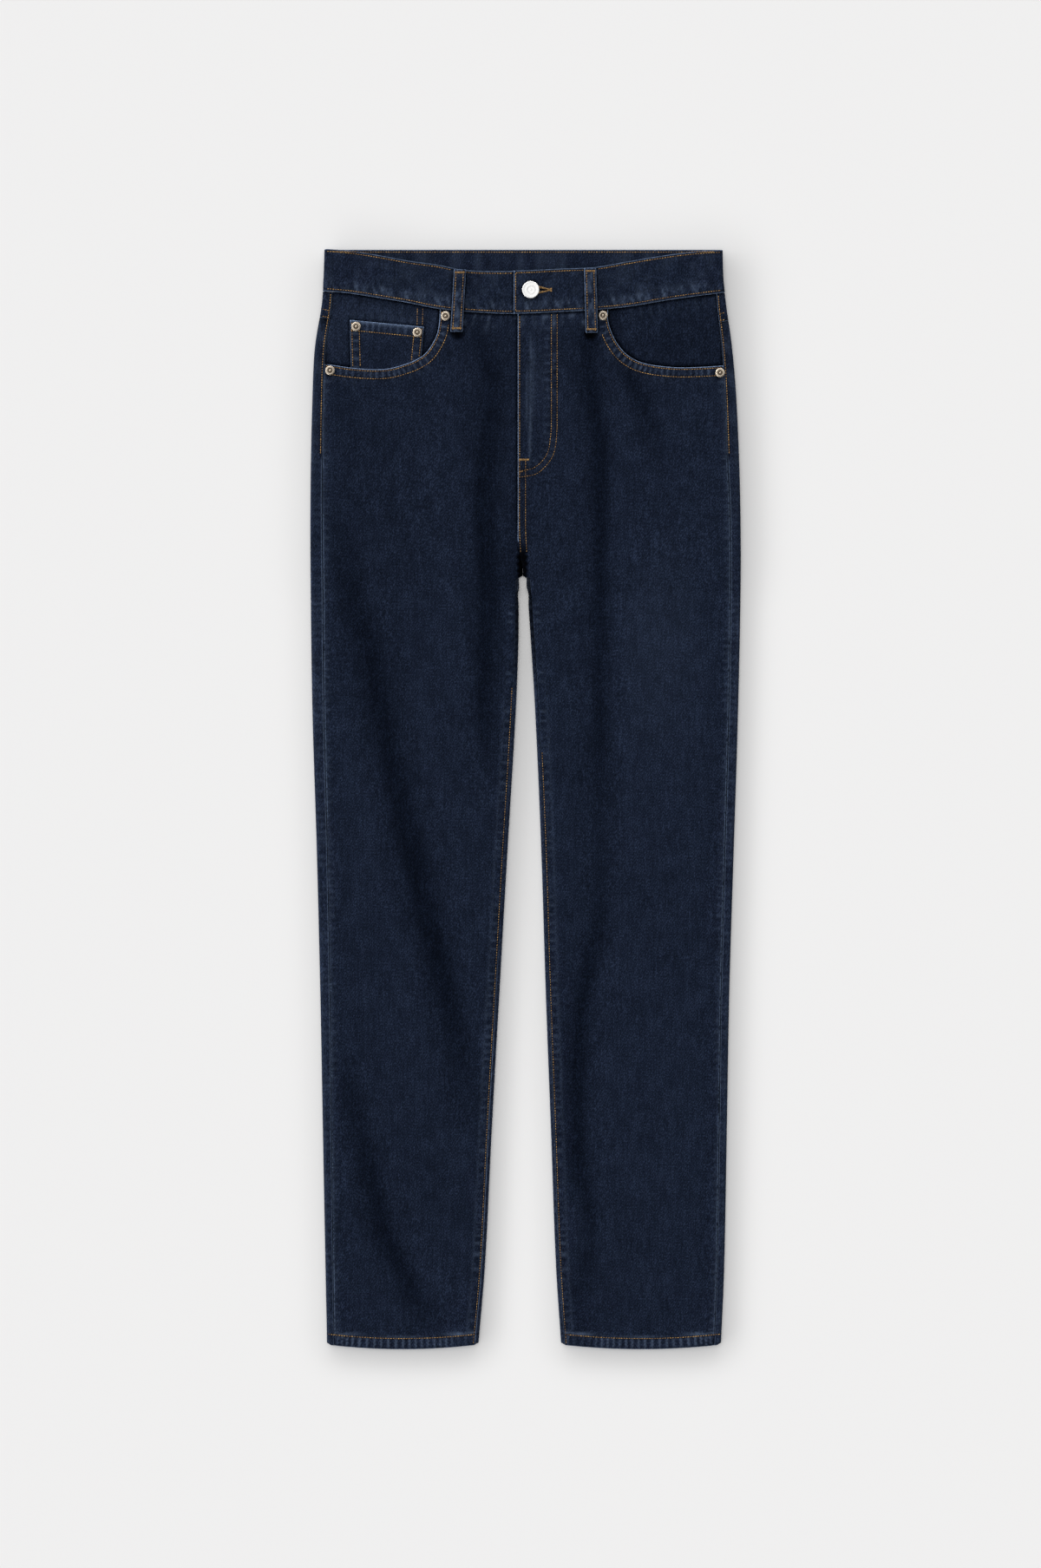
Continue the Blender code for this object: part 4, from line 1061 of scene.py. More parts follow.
# %% [markdown]
# ## Where the fronts are sewn
# The rows are the ones that every pair of five-pocket jeans has: double rows on the pocket
# mouths, fly and rise, single rows on the inseams and hems. Most are an edge from the
# tables moved in by a fixed distance. They are laid out before the cloth, because the cloth
# dips into a groove along each, and has its points on the row itself.


# %% Rows on the fronts
def front_rows(side):
    """The stitch rows on a front panel, as paths."""
    sign = SIGN[side]
    mouth = within(MOUTH_PATH[side], 0, 1029, axis=1)
    reach = sorted((sign * 76, float(outseam_x(side, 975)) - sign * 1.5))
    rows = []
    for off in MOUTH_ROWS:
        row = within(beside(mouth, -off), *reach)
        rows.append(row[row[:, 1] < band_bottom(row[:, 0]) - 2])
    hem_xs = stepped(
        float(outer_x(side, 10)) - sign * 1.0, float(read(INSEAM, side, 10)) + sign * 1.0, 4,
    )
    rows.append(line(hem_xs, hem_height(side, hem_xs) + HEM_ROW))
    inner_h = stepped(3, {"right": 656, "left": 592}[side], 6)
    rows.append(line(inseam_x(side, inner_h) + sign * INSEAM_ROW, inner_h))
    if side == "left":
        rows.append(line(FLY_EDGE_X + 1.7, stepped(868, 1024, 6)))
        rows += [smooth_path(J_OUTER, 4), smooth_path(J_INNER, 4)]
        for x in (-5.7, 0.3):
            down = ((x, 881), (x, 850), (x, 815), (x + 0.6, 800), (x + 1.2, 790))
            rows.append(smooth_path(down, 4))
    return rows


FRONT_ROWS = {side: front_rows(side) for side in SIGN}
print("rows on the fronts:", {side: len(rows) for side, rows in FRONT_ROWS.items()})

# %% [markdown]
# ## The two fronts
# Each front is cut in one piece from waist to hem, with the pocket mouth scooped out of its
# top corner. The left one laps over the right down the fly. The mouth and the fly edge are
# turned under and stitched, so they are rounded, thicker and the first places to wear pale.


# %% Front panels
def front_outline(side):
    sign, clear = SIGN[side], SEAM_GAP / 2
    foot, inner_foot = outseam_x(side, 0) - sign * clear, inseam_x(side, 0) + sign * 2 * clear
    hem_xs = stepped(foot, inner_foot, 3)
    leg = stepped(float(hem_height(side, inner_foot)), CROTCH, 3)
    edge_x = {"right": UNDER_EDGE_X, "left": FLY_EDGE_X}[side]
    rise_x = MIDDLE_X + sign * clear
    rise = smooth_path((
        (rise_x, CROTCH + 2.5), (rise_x, CROTCH + 9), (mix(rise_x, edge_x, 0.6), 788),
        (edge_x, 802), (edge_x, 815),
    ), 5)
    fly = line(edge_x, stepped(818, float(band_bottom(edge_x)) - SEAM_GAP, 3))
    mouth = MOUTH_PATH[side][:: -1 if side == "right" else 1]
    waist_xs = stepped(edge_x, mouth[0][0], 3)
    waist = line(waist_xs, band_bottom(waist_xs) - SEAM_GAP)
    mouth = mouth[mouth[:, 1] < waist[-1][1] - 1]
    corner = outseam_x(side, 976) - sign * clear
    mouth = mouth[sign * (corner - mouth[:, 0]) > 1]
    side_h = stepped(976.0 if side == "right" else 974.8, float(hem_height(side, foot)), 3)
    return closed((
        line(hem_xs, hem_height(side, hem_xs)),
        line(inseam_x(side, leg) + sign * 2 * clear, leg), rise, fly, waist, mouth,
        line(outseam_x(side, side_h) - sign * clear, side_h),
    ), 1.9)


def relief(x, height):
    """What every layer of the front shares: small folds and a slight unevenness."""
    calm = ease(4, 30, height) * 0.14
    return calm * rumple(x, height, 34, 52, 5) + 0.07 * rumple(x, height, 13, 19, 7) - creased(
        CREASES, x, height,
    )


FLY_RIDGES = (
    (1.4, 905, 985, 0.20, 0.08), (4.9, 870, 1012, 0.28, 0.12), (7.6, 915, 1003, 0.16, 0.07),
)


def ridge_line(ridge_x, height):
    return ridge_x + 0.008 * (height - 940) + 0.5 * rumple(height, 0, 26, 1, 51)


def crotch_shade(x, height):
    """The dip just above the crotch, where the two legs' seams meet, and its painted shadow."""
    across = ease(4.9, 3.7, np.abs(x - MIDDLE_X))
    return 2.2 * across * ease(803, 781, height) * (height > CROTCH - 3)


def side_plain(height):
    """1 on the plain outseam of the legs, 0 where its top is topstitched."""
    return ease(892, 876, height)


print("left front outline:", len(front_outline("left")), "points")

# %% [markdown]
# ## Wear on the fronts
# All of a front's relief and wear are sums of soft bumps beside its seams: a dip at each
# edge and row, a pale rim where an edge is rubbed, and a dark line of painted shadow where
# two layers meet.


# %% Wear on the fronts
def front_fields(side):
    seams = seams_of(side)

    def fields(x, height):
        raised, rubbed = puckered(seams, x, height)
        z = front_z(side, x, height) + relief(x, height) + raised
        below = band_bottom(x) - height
        stroke = np.clip(rumple(x + 0.3 * below, below, 2.4, 9, 41) - 0.25, 0, 1)
        wear = 0.8 * rubbed + 0.16 * ease(24, 8, below) * ease(1, 4, below) * stroke
        tone_and_painted_shade = tone_with_painted_light_and_shade(x, height)
        off = distance(MOUTH_PATH[side], x, height)[0]
        off = np.where(height > 960, np.abs(off), FAR)
        z = z - 0.45 * bell(off, 0.9) + 0.35 * ease(11.5, 9.5, off)
        hem_off = height - hem_height(side, x)
        z = z - 0.5 * bell(hem_off, 1.0)
        wear = wear + 0.26 * worn_edge(hem_off - 12.3, x, 0.9, 43)
        inner = np.where(height < CROTCH, x - inseam_x(side, height), FAR)
        inward, low_leg = np.abs(inner), ease(700, 560, height)
        wear = wear + 0.045 * low_leg * worn_edge(inward - 8.6, height, 1.1, 49)
        # Painted shade in the hollows between the inseam's puckers.
        dips = np.clip(-0.1 - ripple(height, 8.6, 17), 0, 1)
        tone_and_painted_shade = tone_and_painted_shade + 0.45 * low_leg * dips * ease(1.2, 2.4, inward) * ease(7.5, 6.2, inward)
        outer = outseam_x(side, height) - x
        wear = wear + 0.05 * worn_edge(outer, height, 2.6, 47) * ease(5, 30, height)
        flat = side_plain(height)
        # Painted shade: a thin dark line in the gap of the plain outseam.
        tone_and_painted_shade = tone_and_painted_shade + 0.9 * flat * bell(outer, 0.5)
        seam_off = mix(np.abs(outer), np.abs(np.abs(outer) - 0.95), flat)
        # Painted shadow just below the waistband's edge.
        tone_and_painted_shade = tone_and_painted_shade + 1.9 * bell(band_bottom(x) - height, 1.9)
        tone_and_painted_shade = tone_and_painted_shade + painted_contact_shadow(x, height)
        tone_and_painted_shade = tone_and_painted_shade + crotch_shade(x, height)
        z = z - 1.2 * np.clip(crotch_shade(x, height), 0, 1)
        edges = [(off, 0.7), (hem_off, 0.3), (seam_off, 0.21), (inner, 0.12)]
        away = [np.abs(distance(row, x, height)[0]) for row in FRONT_ROWS[side]]
        for row in away:
            z = z - 0.26 * bell(row, 0.9)
        fly = x - FLY_EDGE_X
        if side == "left":
            on_fly = np.where(height > 800, fly, FAR)
            edges.append((on_fly, 0.62))
            z = z - 0.5 * bell(on_fly, 0.9) + 0.3 * ease(3.4, 1.8, on_fly)
            for ridge_x, low, high, tall, pale in FLY_RIDGES:
                stretch = ease(low, low + 22, height) * ease(high, high - 26, height)
                across = x - ridge_line(ridge_x, height)
                uneven = 0.65 + 0.35 * rumple(x, height, 2, 8, 53)
                z = z + tall * stretch * bell(across, 1.5)
                wear = wear + pale * stretch * bell(across, 0.95) * uneven
        else:
            # Painted shadow on the right front, beside the edge of the left front that laps over it.
            tone_and_painted_shade = tone_and_painted_shade + 2.0 * bell(fly, 1.8) * ease(805, 820, height)
        return z, marks(wear, tone_and_painted_shade, edges, away)

    return fields


print("ridges along the fly:", len(FLY_RIDGES))

# %% [markdown]
# ## Cutting the fronts
# The outline is filled, joined and given its wall. Points lie on every row and fly ridge.

# %% Cutting the fronts
for side in SIGN:
    outline = front_outline(side)
    lines = [seam.line for seam in seams_of(side)]
    lines.append(line(FLY_EDGE_X, stepped(802, 1026, 6)))
    on_rows = list(FRONT_ROWS[side])
    if side == "left":
        for ridge_x, low, high, _, _ in FLY_RIDGES:
            ridge_h = stepped(low, high, 3)
            on_rows.append(line(ridge_line(ridge_x, ridge_h), ridge_h))
    side_h = stepped(14, 884, 3)
    on_rows.append(line(outseam_x(side, side_h) - SIGN[side] * (0.95 + SEAM_GAP / 2), side_h))
    inside = filling(outline, lines, rows=on_rows)
    mesh = cut_cloth(f"denim_front_{side}", outline, inside, front_fields(side))
    made = dress(
        f"denim_front_{side}", mesh, f"front_panel_{side}", (DENIM_OUT, DENIM_IN),
        wall=HEM_WALL, hem_side=side,
    )
    declare(made)

# %% [markdown]
# ## Pocket facings
# The cloth that shows inside a pocket mouth is a separate facing, sewn in at the waistband
# and the outseam. It is a flat cut like the fronts, and lies a little under them.


# %% Pocket facings
def facing_outline(side):
    sign = SIGN[side]
    mouth = MOUTH_PATH[side]
    run = np.gradient(mouth, axis=0)
    away = np.column_stack([run[:, 1], -run[:, 0]]) / np.hypot(*run.T)[:, None]
    under = (mouth + away * FACING_UNDER)[:: -1 if side == "right" else 1]
    corner = outseam_x(side, BACK_BAND_BOTTOM) - sign * 2 * SEAM_GAP
    waist_xs = stepped(corner, under[0][0], 2)
    waist = line(waist_xs, band_bottom(waist_xs) - SEAM_GAP)
    under = under[under[:, 1] < waist[-1][1] - 2]
    under = under[sign * (outseam_x(side, under[:, 1]) - under[:, 0]) > 2]
    side_h = stepped(under[-1][1], 1036, 2)
    return closed((waist, under, line(outseam_x(side, side_h) - sign * 2 * SEAM_GAP, side_h)), 1.9)


COIN_RIM = np.array(COIN_POCKET + COIN_POCKET[:1], float)


def facing_fields(side):
    xs = xs_right if side == "right" else xs_left
    waist = Seam(line(xs, band_bottom(xs)), -15, -0.5, 9.5, 0.12, 0.06, 53)
    coin_top = Seam(np.array([(-178.0, 1021.0), (-98.0, 1014.0)]), 0, 9, 8.5, 0.2, 0.1, 55)

    def fields(x, height):
        seams = [waist] + ([coin_top] if side == "right" else [])
        raised, rubbed = puckered(seams, x, height)
        z = facing_z(side, x, height) + relief(x, height) + raised - 0.12
        off = distance(MOUTH_PATH[side], x, height)[0]
        under_mouth = ease(3, -2, off)
        # Painted shade under the pocket mouth, a painted shadow along its edge and round the coin pocket's
        # rim; each facing also has its own small tone offset.
        tone_and_painted_shade = tone_with_painted_light_and_shade(x, height) + 0.25 * under_mouth + (0.18 if side == "left" else -0.24)
        tone_and_painted_shade = tone_and_painted_shade + 1.9 * bell(off, 2.4)
        # Painted shadow just below the waistband's edge.
        tone_and_painted_shade = tone_and_painted_shade + 1.9 * bell(band_bottom(x) - height, 1.9)
        tone_and_painted_shade = tone_and_painted_shade + painted_contact_shadow(x, height)
        if side == "right":
            tone_and_painted_shade = tone_and_painted_shade + 1.5 * bell(distance(COIN_RIM, x, height)[0], 1.6)
        return z - 0.2 * under_mouth, marks(0.7 * rubbed, tone_and_painted_shade)

    return fields


for side in SIGN:
    name, outline = f"denim_facing_{side}", facing_outline(side)
    inside = filling(outline, [outline], fine=2.2, coarse=2.6)
    mesh = cut_cloth(name, outline, inside, facing_fields(side))
    made = dress(name, mesh, f"pocket_facing_{side}", (DENIM_OUT,), wall=DENIM)
    declare(made)

# %% [markdown]
# ## Coin pocket
# The small pocket on the wearer's right facing: a patch with a hem along its top and two rows
# down each side. Its foot and inner side slip under the pocket mouth.

# %% Coin pocket
COIN_LOOP = closed((np.array(COIN_POCKET, float),), 2.0)
COIN_TOP = np.array([COIN_POCKET[5], COIN_POCKET[0]], float)[::-1]
COIN_SIDES = (
    np.array([COIN_POCKET[0], COIN_POCKET[1]], float),
    np.array([COIN_POCKET[5], COIN_POCKET[4]], float),
)


def coin_fields(x, height):
    top_off, top_run, _ = distance(COIN_TOP, x, height)
    top_off = -top_off
    hem = ease(-0.5, 1.2, top_off) * ease(11.5, 9.5, top_off)
    z = coin_z(x, height) + relief(x, height) - 0.12
    waves = ripple(top_run, 6.0, 61)
    z = z + hem * (0.35 + 0.22 * waves) - 0.4 * bell(top_off, 0.8)
    wear = 0.22 * hem * np.clip(waves - 0.1, 0, 1) + 0.25 * worn_edge(top_off, top_run, 2.4, 63)
    edges, rows = [(top_off, 0.6)], [top_off - COIN_HEM_ROW]
    for k, edge in enumerate(COIN_SIDES):
        off, run, _ = distance(edge, x, height)
        off = np.abs(off)
        z = z - 0.35 * bell(off, 0.8)
        between = ease(0.5, 2, off) * ease(9.5, 8, off)
        waves = ripple(run, 7.0, 65 + k)
        z = z + between * (0.12 + 0.13 * waves)
        wear = wear + 0.12 * between * np.clip(waves - 0.1, 0, 1)
        edges.append((off, 0.25))
        rows += [off - row for row in COIN_ROW_OFFS]
    for row in rows:
        z = z - 0.2 * bell(row, 0.9)
    return z, marks(wear, tone_with_painted_light_and_shade(x, height) + painted_contact_shadow(x, height) - 0.16, edges, rows)


COIN_ROWS = [beside(COIN_TOP, -COIN_HEM_ROW)]
for off in COIN_ROW_OFFS:
    COIN_ROWS += [beside(COIN_SIDES[0], off), beside(COIN_SIDES[1], -off)]


inside = filling(COIN_LOOP, [COIN_LOOP], fine=1.6, coarse=2.4, reach=9, rows=COIN_ROWS)
made = dress(
    "denim_coin_pocket", cut_cloth("denim_coin_pocket", COIN_LOOP, inside, coin_fields),
    "coin_pocket", (DENIM_OUT,), wall=DENIM,
)
declare(made)

# %% [markdown]
# ## The backs
# Each back starts at the outseam on the front of the leg, turns round the side fold, runs
# under the leg and comes up round the inside to meet the front again, as real backs do
# because they are cut wider. A grid suits this: its columns go round the leg and its rows
# run up it, and every point is placed on the same rounded section.

# %% Back panels
STRIP, ARC, UNDER, INNER = 7, 10, 24, 9
BACK_COLUMNS = STRIP + ARC + UNDER + INNER + 1
UNROLL_START = 736.0


def back_place(side, column, height):
    """x, z and the way out of the cloth (as an angle from up) on the back's outer face."""
    sign = SIGN[side]
    radius, base = side_radius(height), lift(height)
    bend = outer_x(side, height) - sign * radius
    seam = outseam_x(side, height) + sign * SEAM_GAP / 2
    turn = math.pi * np.clip((column - STRIP) / ARC, 0, 1)
    x = np.where(
        column <= STRIP, mix(seam, bend, np.clip(column / STRIP, 0, 1) ** 1.25),
        bend + sign * radius * np.sin(turn),
    )
    z = base + radius * (1 + np.cos(turn))
    facing = turn
    small = inner_radius(side, height)
    flat_share = ease(UNROLL_START, CROTCH, height)
    start = mix(
        inseam_x(side, height) - sign * LIP,
        read(INSEAM, side, height) + sign * (math.pi * small + LIP), flat_share,
    )
    above = height > CROTCH + 1
    start = np.where(above, MIDDLE_X + sign * (SEAM_GAP / 2 + 9), start)
    under_share = np.clip((column - STRIP - ARC) / UNDER, 0, 1)
    x = np.where(column > STRIP + ARC, mix(bend, start, under_share), x)
    step = column - (STRIP + ARC + UNDER)
    full_turn = np.maximum(math.pi * (1 - flat_share), 0.01)
    radius_in = math.pi * small / full_turn
    curl = full_turn * np.clip(step / INNER, 0, 1)
    lip = LIP * (step > INNER)
    rolled_x = start - sign * (radius_in * np.sin(curl) + lip * np.cos(curl))
    rolled_z = base + radius_in * (1 - np.cos(curl)) + lip * np.sin(curl)
    laid_x = start - sign * 9 * step / (INNER + 1)
    x = np.where(step > 0, np.where(above, laid_x, rolled_x), x)
    z = np.where(step > 0, np.where(above, base, rolled_z), z)
    facing = np.where(step > 0, np.where(above, math.pi, math.pi + curl), facing)
    return x, z, facing


print("a back has", BACK_COLUMNS, "columns round the leg")

# %% [markdown]
# ## Wear on the backs
# Where the back shows beside the front it wears like a seam. Underneath it has the broad
# soft creases of cloth that was sat in. Each is pushed out along the section.


# %% Wear on the backs
def back_finish(side, column, x, height, z, facing):
    """Small folds, seam puckers and wear on the back, pushed out along the section, with painted shade in
    its creases.
    """
    sign = SIGN[side]
    hem_off = height - hem_height(side, x)
    under = ease(0.6 * math.pi, math.pi, facing) * ease(1.4 * math.pi, math.pi, facing)
    folds = creased(BACK_CREASES, x, height) + 0.12 * (1 + rumple(x, height, 30, 44, 71))
    out = -np.clip(folds, 0, 0.9) * under * ease(2, 26, hem_off)
    in_step = column - (STRIP + ARC + UNDER)
    strip = ease(STRIP + 3, STRIP, column)
    inner = ease(3, 6, in_step) * (height < CROTCH)
    out = out + 0.08 * strip * ripple(height, 8.0, 73) + 0.10 * inner * ripple(height, 6.8, 75)
    hem = ease(11.5, 10.5, hem_off) * ease(-1, 1, hem_off) * (1 - under)
    out = out + 0.15 * hem * ripple(x + z, 6.5, 77)
    x = x + sign * np.sin(facing) * out
    z = np.maximum(z + np.cos(facing) * out, 0.0)
    wear = 0.05 * strip * np.clip(ripple(height, 8.0, 73), 0, 1)
    wear = wear + 0.04 * inner * np.clip(ripple(height, 6.8, 75), 0, 1)
    soft = 0.5 + 0.5 * rumple(height, 0, 60, 1, 82)
    wear = wear + 0.03 * soft * bell(column - STRIP - 1, 2.0)
    # Painted shade in the creases underneath; the strip beside the outseam is darker higher up.
    tone_and_painted_shade = 0.25 * np.clip(folds, 0, 1) * under + 0.25 * strip * ease(700, 900, height)
    seam_off = np.abs(x - outseam_x(side, height))
    seam_off = np.where(column <= STRIP, seam_off, FAR)
    inner_off = np.where((in_step > 0) & (height < CROTCH), (INNER + 1 - in_step) * 0.9, FAR)
    flat = side_plain(height)
    on_line = mix(seam_off, np.abs(column - 1) * 1.2, flat)
    # Painted shade: a thin dark line in the gap of the plain outseam.
    tone_and_painted_shade = tone_and_painted_shade + 0.9 * flat * (column == 0)
    # Painted shadow on the back's inner part at the crotch, where it shows deep under the fronts.
    tone_and_painted_shade = tone_and_painted_shade + 1.8 * (in_step > -1) * ease(640, 720, height) * (height < CROTCH + 4)
    edges = [
        (np.where(column <= STRIP, on_line, FAR), 0.21), (hem_off, 0.25),
        (inner_off, 0.24 * ease(430, 260, height)),
    ]
    rows = [
        np.where(height > 880, seam_off - OUTSEAM_ROW, FAR),
        np.where(in_step == 0, FAR, hem_off - HEM_ROW),
    ]
    return x, z, wear, tone_and_painted_shade, edges, rows


print("deepest back crease:", max(crease.depth for crease in BACK_CREASES), "mm")

# %% [markdown]
# ## Building the backs
# Rows of the grid stand close at the hem, for its rounded edge, and at the crotch, where
# the leg closes. The last ones follow the slope of the yoke seam.

# %% Building the backs
PANEL_ROWS = np.concatenate([
    [0, 2, 4.5, 7, 9.2, HEM_DEPTH, HEM_DEPTH + 2], stepped(16, 736, 3.6),
    stepped(739, CROTCH, 2.6), [CROTCH + 2.5], stepped(771, 900, 4),
])
TOP_ROWS = 18
YOKE_SIDE = 1010.0


def back_fields(side):
    def place_of(column, row):
        row = row.astype(int)
        last = PANEL_ROWS[-1]
        low = PANEL_ROWS[np.minimum(row, len(PANEL_ROWS) - 1)]
        share = np.clip((row - len(PANEL_ROWS) + 1) / TOP_ROWS, 0, 1)
        x = outer_x(side, np.full(row.shape, YOKE_SIDE))
        for _ in range(6):
            seam = yoke_height(side, x) - SEAM_GAP / 2
            bow = ease(90, 0, low) * hem_height(side, x)
            corner = np.minimum(
                SIGN[side] * (outer_x(side, low) - x), SIGN[side] * (x - read(INSEAM, side, low)),
            )
            bow = bow + 1.6 * ease(9, 0, low) * ease(4.5, 0.2, corner)
            height = np.where(share > 0, mix(last, seam, share), low + bow)
            x, z, facing = back_place(side, column, height)
        x, z, wear, tone_and_painted_shade, edges, rows = back_finish(side, column, x, height, z, facing)
        near_yoke = yoke_height(side, x) - height
        # Painted shadow just below the yoke's seam.
        tone_and_painted_shade = tone_and_painted_shade + 1.6 * bell(near_yoke, 1.5)
        return np.column_stack([x, height - LENGTH / 2, z]), marks(wear, tone_and_painted_shade, edges, rows)

    return place_of


def flipped(mesh):
    """The same mesh with its faces turned to look the other way."""
    mesh.flip_normals()
    return mesh


for side in SIGN:
    name = f"denim_back_{side}"
    mesh = grid_cloth(name, BACK_COLUMNS, len(PANEL_ROWS) + TOP_ROWS - 1, back_fields(side))
    if side == "right":
        flipped(mesh)
    made = dress(
        name, mesh, f"back_panel_{side}", (DENIM_OUT, DENIM_IN), wall=HEM_WALL, hem_side=side,
    )
    declare(made)

# %% [markdown]
# ## Yokes and back pockets
# The yoke is the shaped strip between the back and the waistband. It wraps round the side
# with the back and shows as a short double seam on the front. The patch pockets lie against
# the floor, so they are flat, with turned edges and a hem along the top.

# %% Yokes and back pockets
YOKE_ROWS = 14


def yoke_fields(side):
    def place_of(column, row):
        x = outer_x(side, np.full(row.shape, YOKE_SIDE))
        turned = np.clip((column - STRIP) / ARC, 0, 1)
        for _ in range(6):
            front_end = band_bottom(np.where(column < STRIP, x, band_bend(side)))
            top = mix(front_end, BACK_BAND_BOTTOM, turned) - WAIST_GAP
            low = yoke_height(side, x) + SEAM_GAP / 2
            height = mix(low, top, row / YOKE_ROWS)
            x, z, facing = back_place(side, column, height)
        sign = SIGN[side]
        above = height - yoke_height(side, x)
        strip = ease(STRIP + 3, STRIP, column)
        ridge = 0.25 * ease(9, 7.5, above) - 0.12 * bell(above - 1.8, 0.9)
        out = strip * (ridge + 0.12 * ripple(height, 7, 87))
        x, z = x + sign * np.sin(facing) * out, np.maximum(z + np.cos(facing) * out, 0)
        seam_off = np.where(column <= STRIP, np.abs(x - outseam_x(side, height)), FAR)
        # Painted shadow on the yoke just below the waistband's edge; the strip beside the outseam is a
        # little darker.
        tone_and_painted_shade = 0.15 * strip + 0.6 * bell(front_end - height, 1.8)
        edges = [(above, 0.35), (seam_off, 0.3)]
        rows = [above - up for up in YOKE_ROWS_UP] + [seam_off - OUTSEAM_ROW]
        return np.column_stack([x, height - LENGTH / 2, z]), marks(0 * tone_and_painted_shade, tone_and_painted_shade, edges, rows)

    return place_of


def pocket_corners(side):
    half, foot_half = POCKET_WIDTH / 2, POCKET_WIDTH / 2 - 9
    shoulder = POCKET_TOP - POCKET_DEPTH + 26
    middle = MIDDLE_X + SIGN[side] * POCKET_CENTRE
    return np.array([
        (middle - half, POCKET_TOP), (middle - foot_half, shoulder),
        (middle, POCKET_TOP - POCKET_DEPTH), (middle + foot_half, shoulder),
        (middle + half, POCKET_TOP),
    ])


def pocket_fields(side):
    rim = np.vstack([pocket_corners(side), pocket_corners(side)[:1]])

    def fields(x, height):
        off, run, _ = distance(rim, x, height)
        off = np.abs(off)
        raised = 0.10 * ease(9, 7.5, off) * (1 + ripple(run, 8, 93)) + 0.15 * (
            1 + rumple(x, height, 24, 30, 95)
        ) * ease(2, 20, off)
        numbers = marks(0 * off, 0 * off, [(off, 0.6)], [off - row for row in POCKET_ROW_OFFS])
        return np.clip(raised, 0, 0.5), numbers

    return fields


for side in SIGN:
    name = f"denim_yoke_{side}"
    mesh = grid_cloth(name, BACK_COLUMNS, YOKE_ROWS, yoke_fields(side))
    if side == "right":
        flipped(mesh)
    made = dress(name, mesh, f"yoke_{side}", (DENIM_OUT,), wall=DENIM)
    declare(made)
    name = f"denim_back_pocket_{side}"
    outline = closed((pocket_corners(side),), 2.5)
    inside = filling(outline, [outline], fine=2.5, coarse=4.5)
    mesh = flipped(cut_cloth(name, outline, inside, pocket_fields(side)))
    made = dress(name, mesh, f"back_pocket_{side}", (DENIM_OUT,), wall=DENIM - 0.5)
    declare(made)

# %% [markdown]
# ## The waistband
# A waistband is one long strip folded lengthwise over the top of the jeans, so in section
# it is a flat tube with a soft fold above and a seam below. The section's outline is carried
# along the waist's middle line and closed at both ends. The wearer's left end, with the
# buttonhole, lies over the right. A keyhole-shaped cutter opens the buttonhole.

# %% Waistband
BAND_FACE_ROWS = np.array([
    0.25, 0.9, 1.6, 2.3, 3.1, 4.4, 6.2, 8.2, 9.6, 12, 15, 18, 21, 24, 27, 30, 32.5, 34.6,
    36.2, 37.3, 38.1, 38.8, 39.4, 39.8,
]) / 40


def band_section():
    """(share of the height, side of the wall from -1 to 1) once round the folded strip."""
    face = [(share, 1.0) for share in BAND_FACE_ROWS]
    fold = [(1 + 0.012 * math.cos(a), math.sin(a)) for a in np.linspace(1.2, -1.2, 5)]
    back = [(share, -1.0) for share in BAND_FACE_ROWS[::-1][::2]]
    foot = [(0.0, -0.6), (-0.002, 0.0), (0.0, 0.6)]
    return np.array(face + fold + back + foot)


def band_line():
    """The strip's middle line from the tab round to the under end: x, z, top, bottom."""
    stations = []
    radius = (SIDE_BAND_Z - BACK_BAND_Z) / 2
    bends = {side: float(band_bend(side)) for side in SIGN}

    def front(side, start, end):
        for x in stepped(start, end, 1.7):
            stations.append((x, float(band_z(side, x)), float(band_top(x)), float(band_bottom(x))))

    def turn(side, angles):
        bend = bends[side]
        for angle in angles:
            share = angle / math.pi
            stations.append((
                bend + SIGN[side] * radius * math.sin(angle),
                BACK_BAND_Z + radius * (1 + math.cos(angle)),
                mix(float(band_top(bend)), BACK_BAND_TOP, share),
                mix(float(band_bottom(bend)), BACK_BAND_BOTTOM, share),
            ))

    angles = np.pi * np.arange(1, 10) / 10
    front("left", TAB_END_X, bends["left"])
    turn("left", angles)
    for x in stepped(bends["left"], bends["right"], 6)[1:-1]:
        stations.append((x, BACK_BAND_Z, BACK_BAND_TOP, BACK_BAND_BOTTOM))
    turn("right", angles[::-1])
    front("right", bends["right"], UNDER_END_X)
    return np.array(stations)


print("waistband:", len(band_section()), "points round,", len(band_line()), "stations")

# %% [markdown]
# ## The waistband's surface
# The band is flat and stiff, with puckers over its lower seam, grooves at its two rows and
# pale upright rubs. Its inside, which shows behind, is wrinkled more finely.


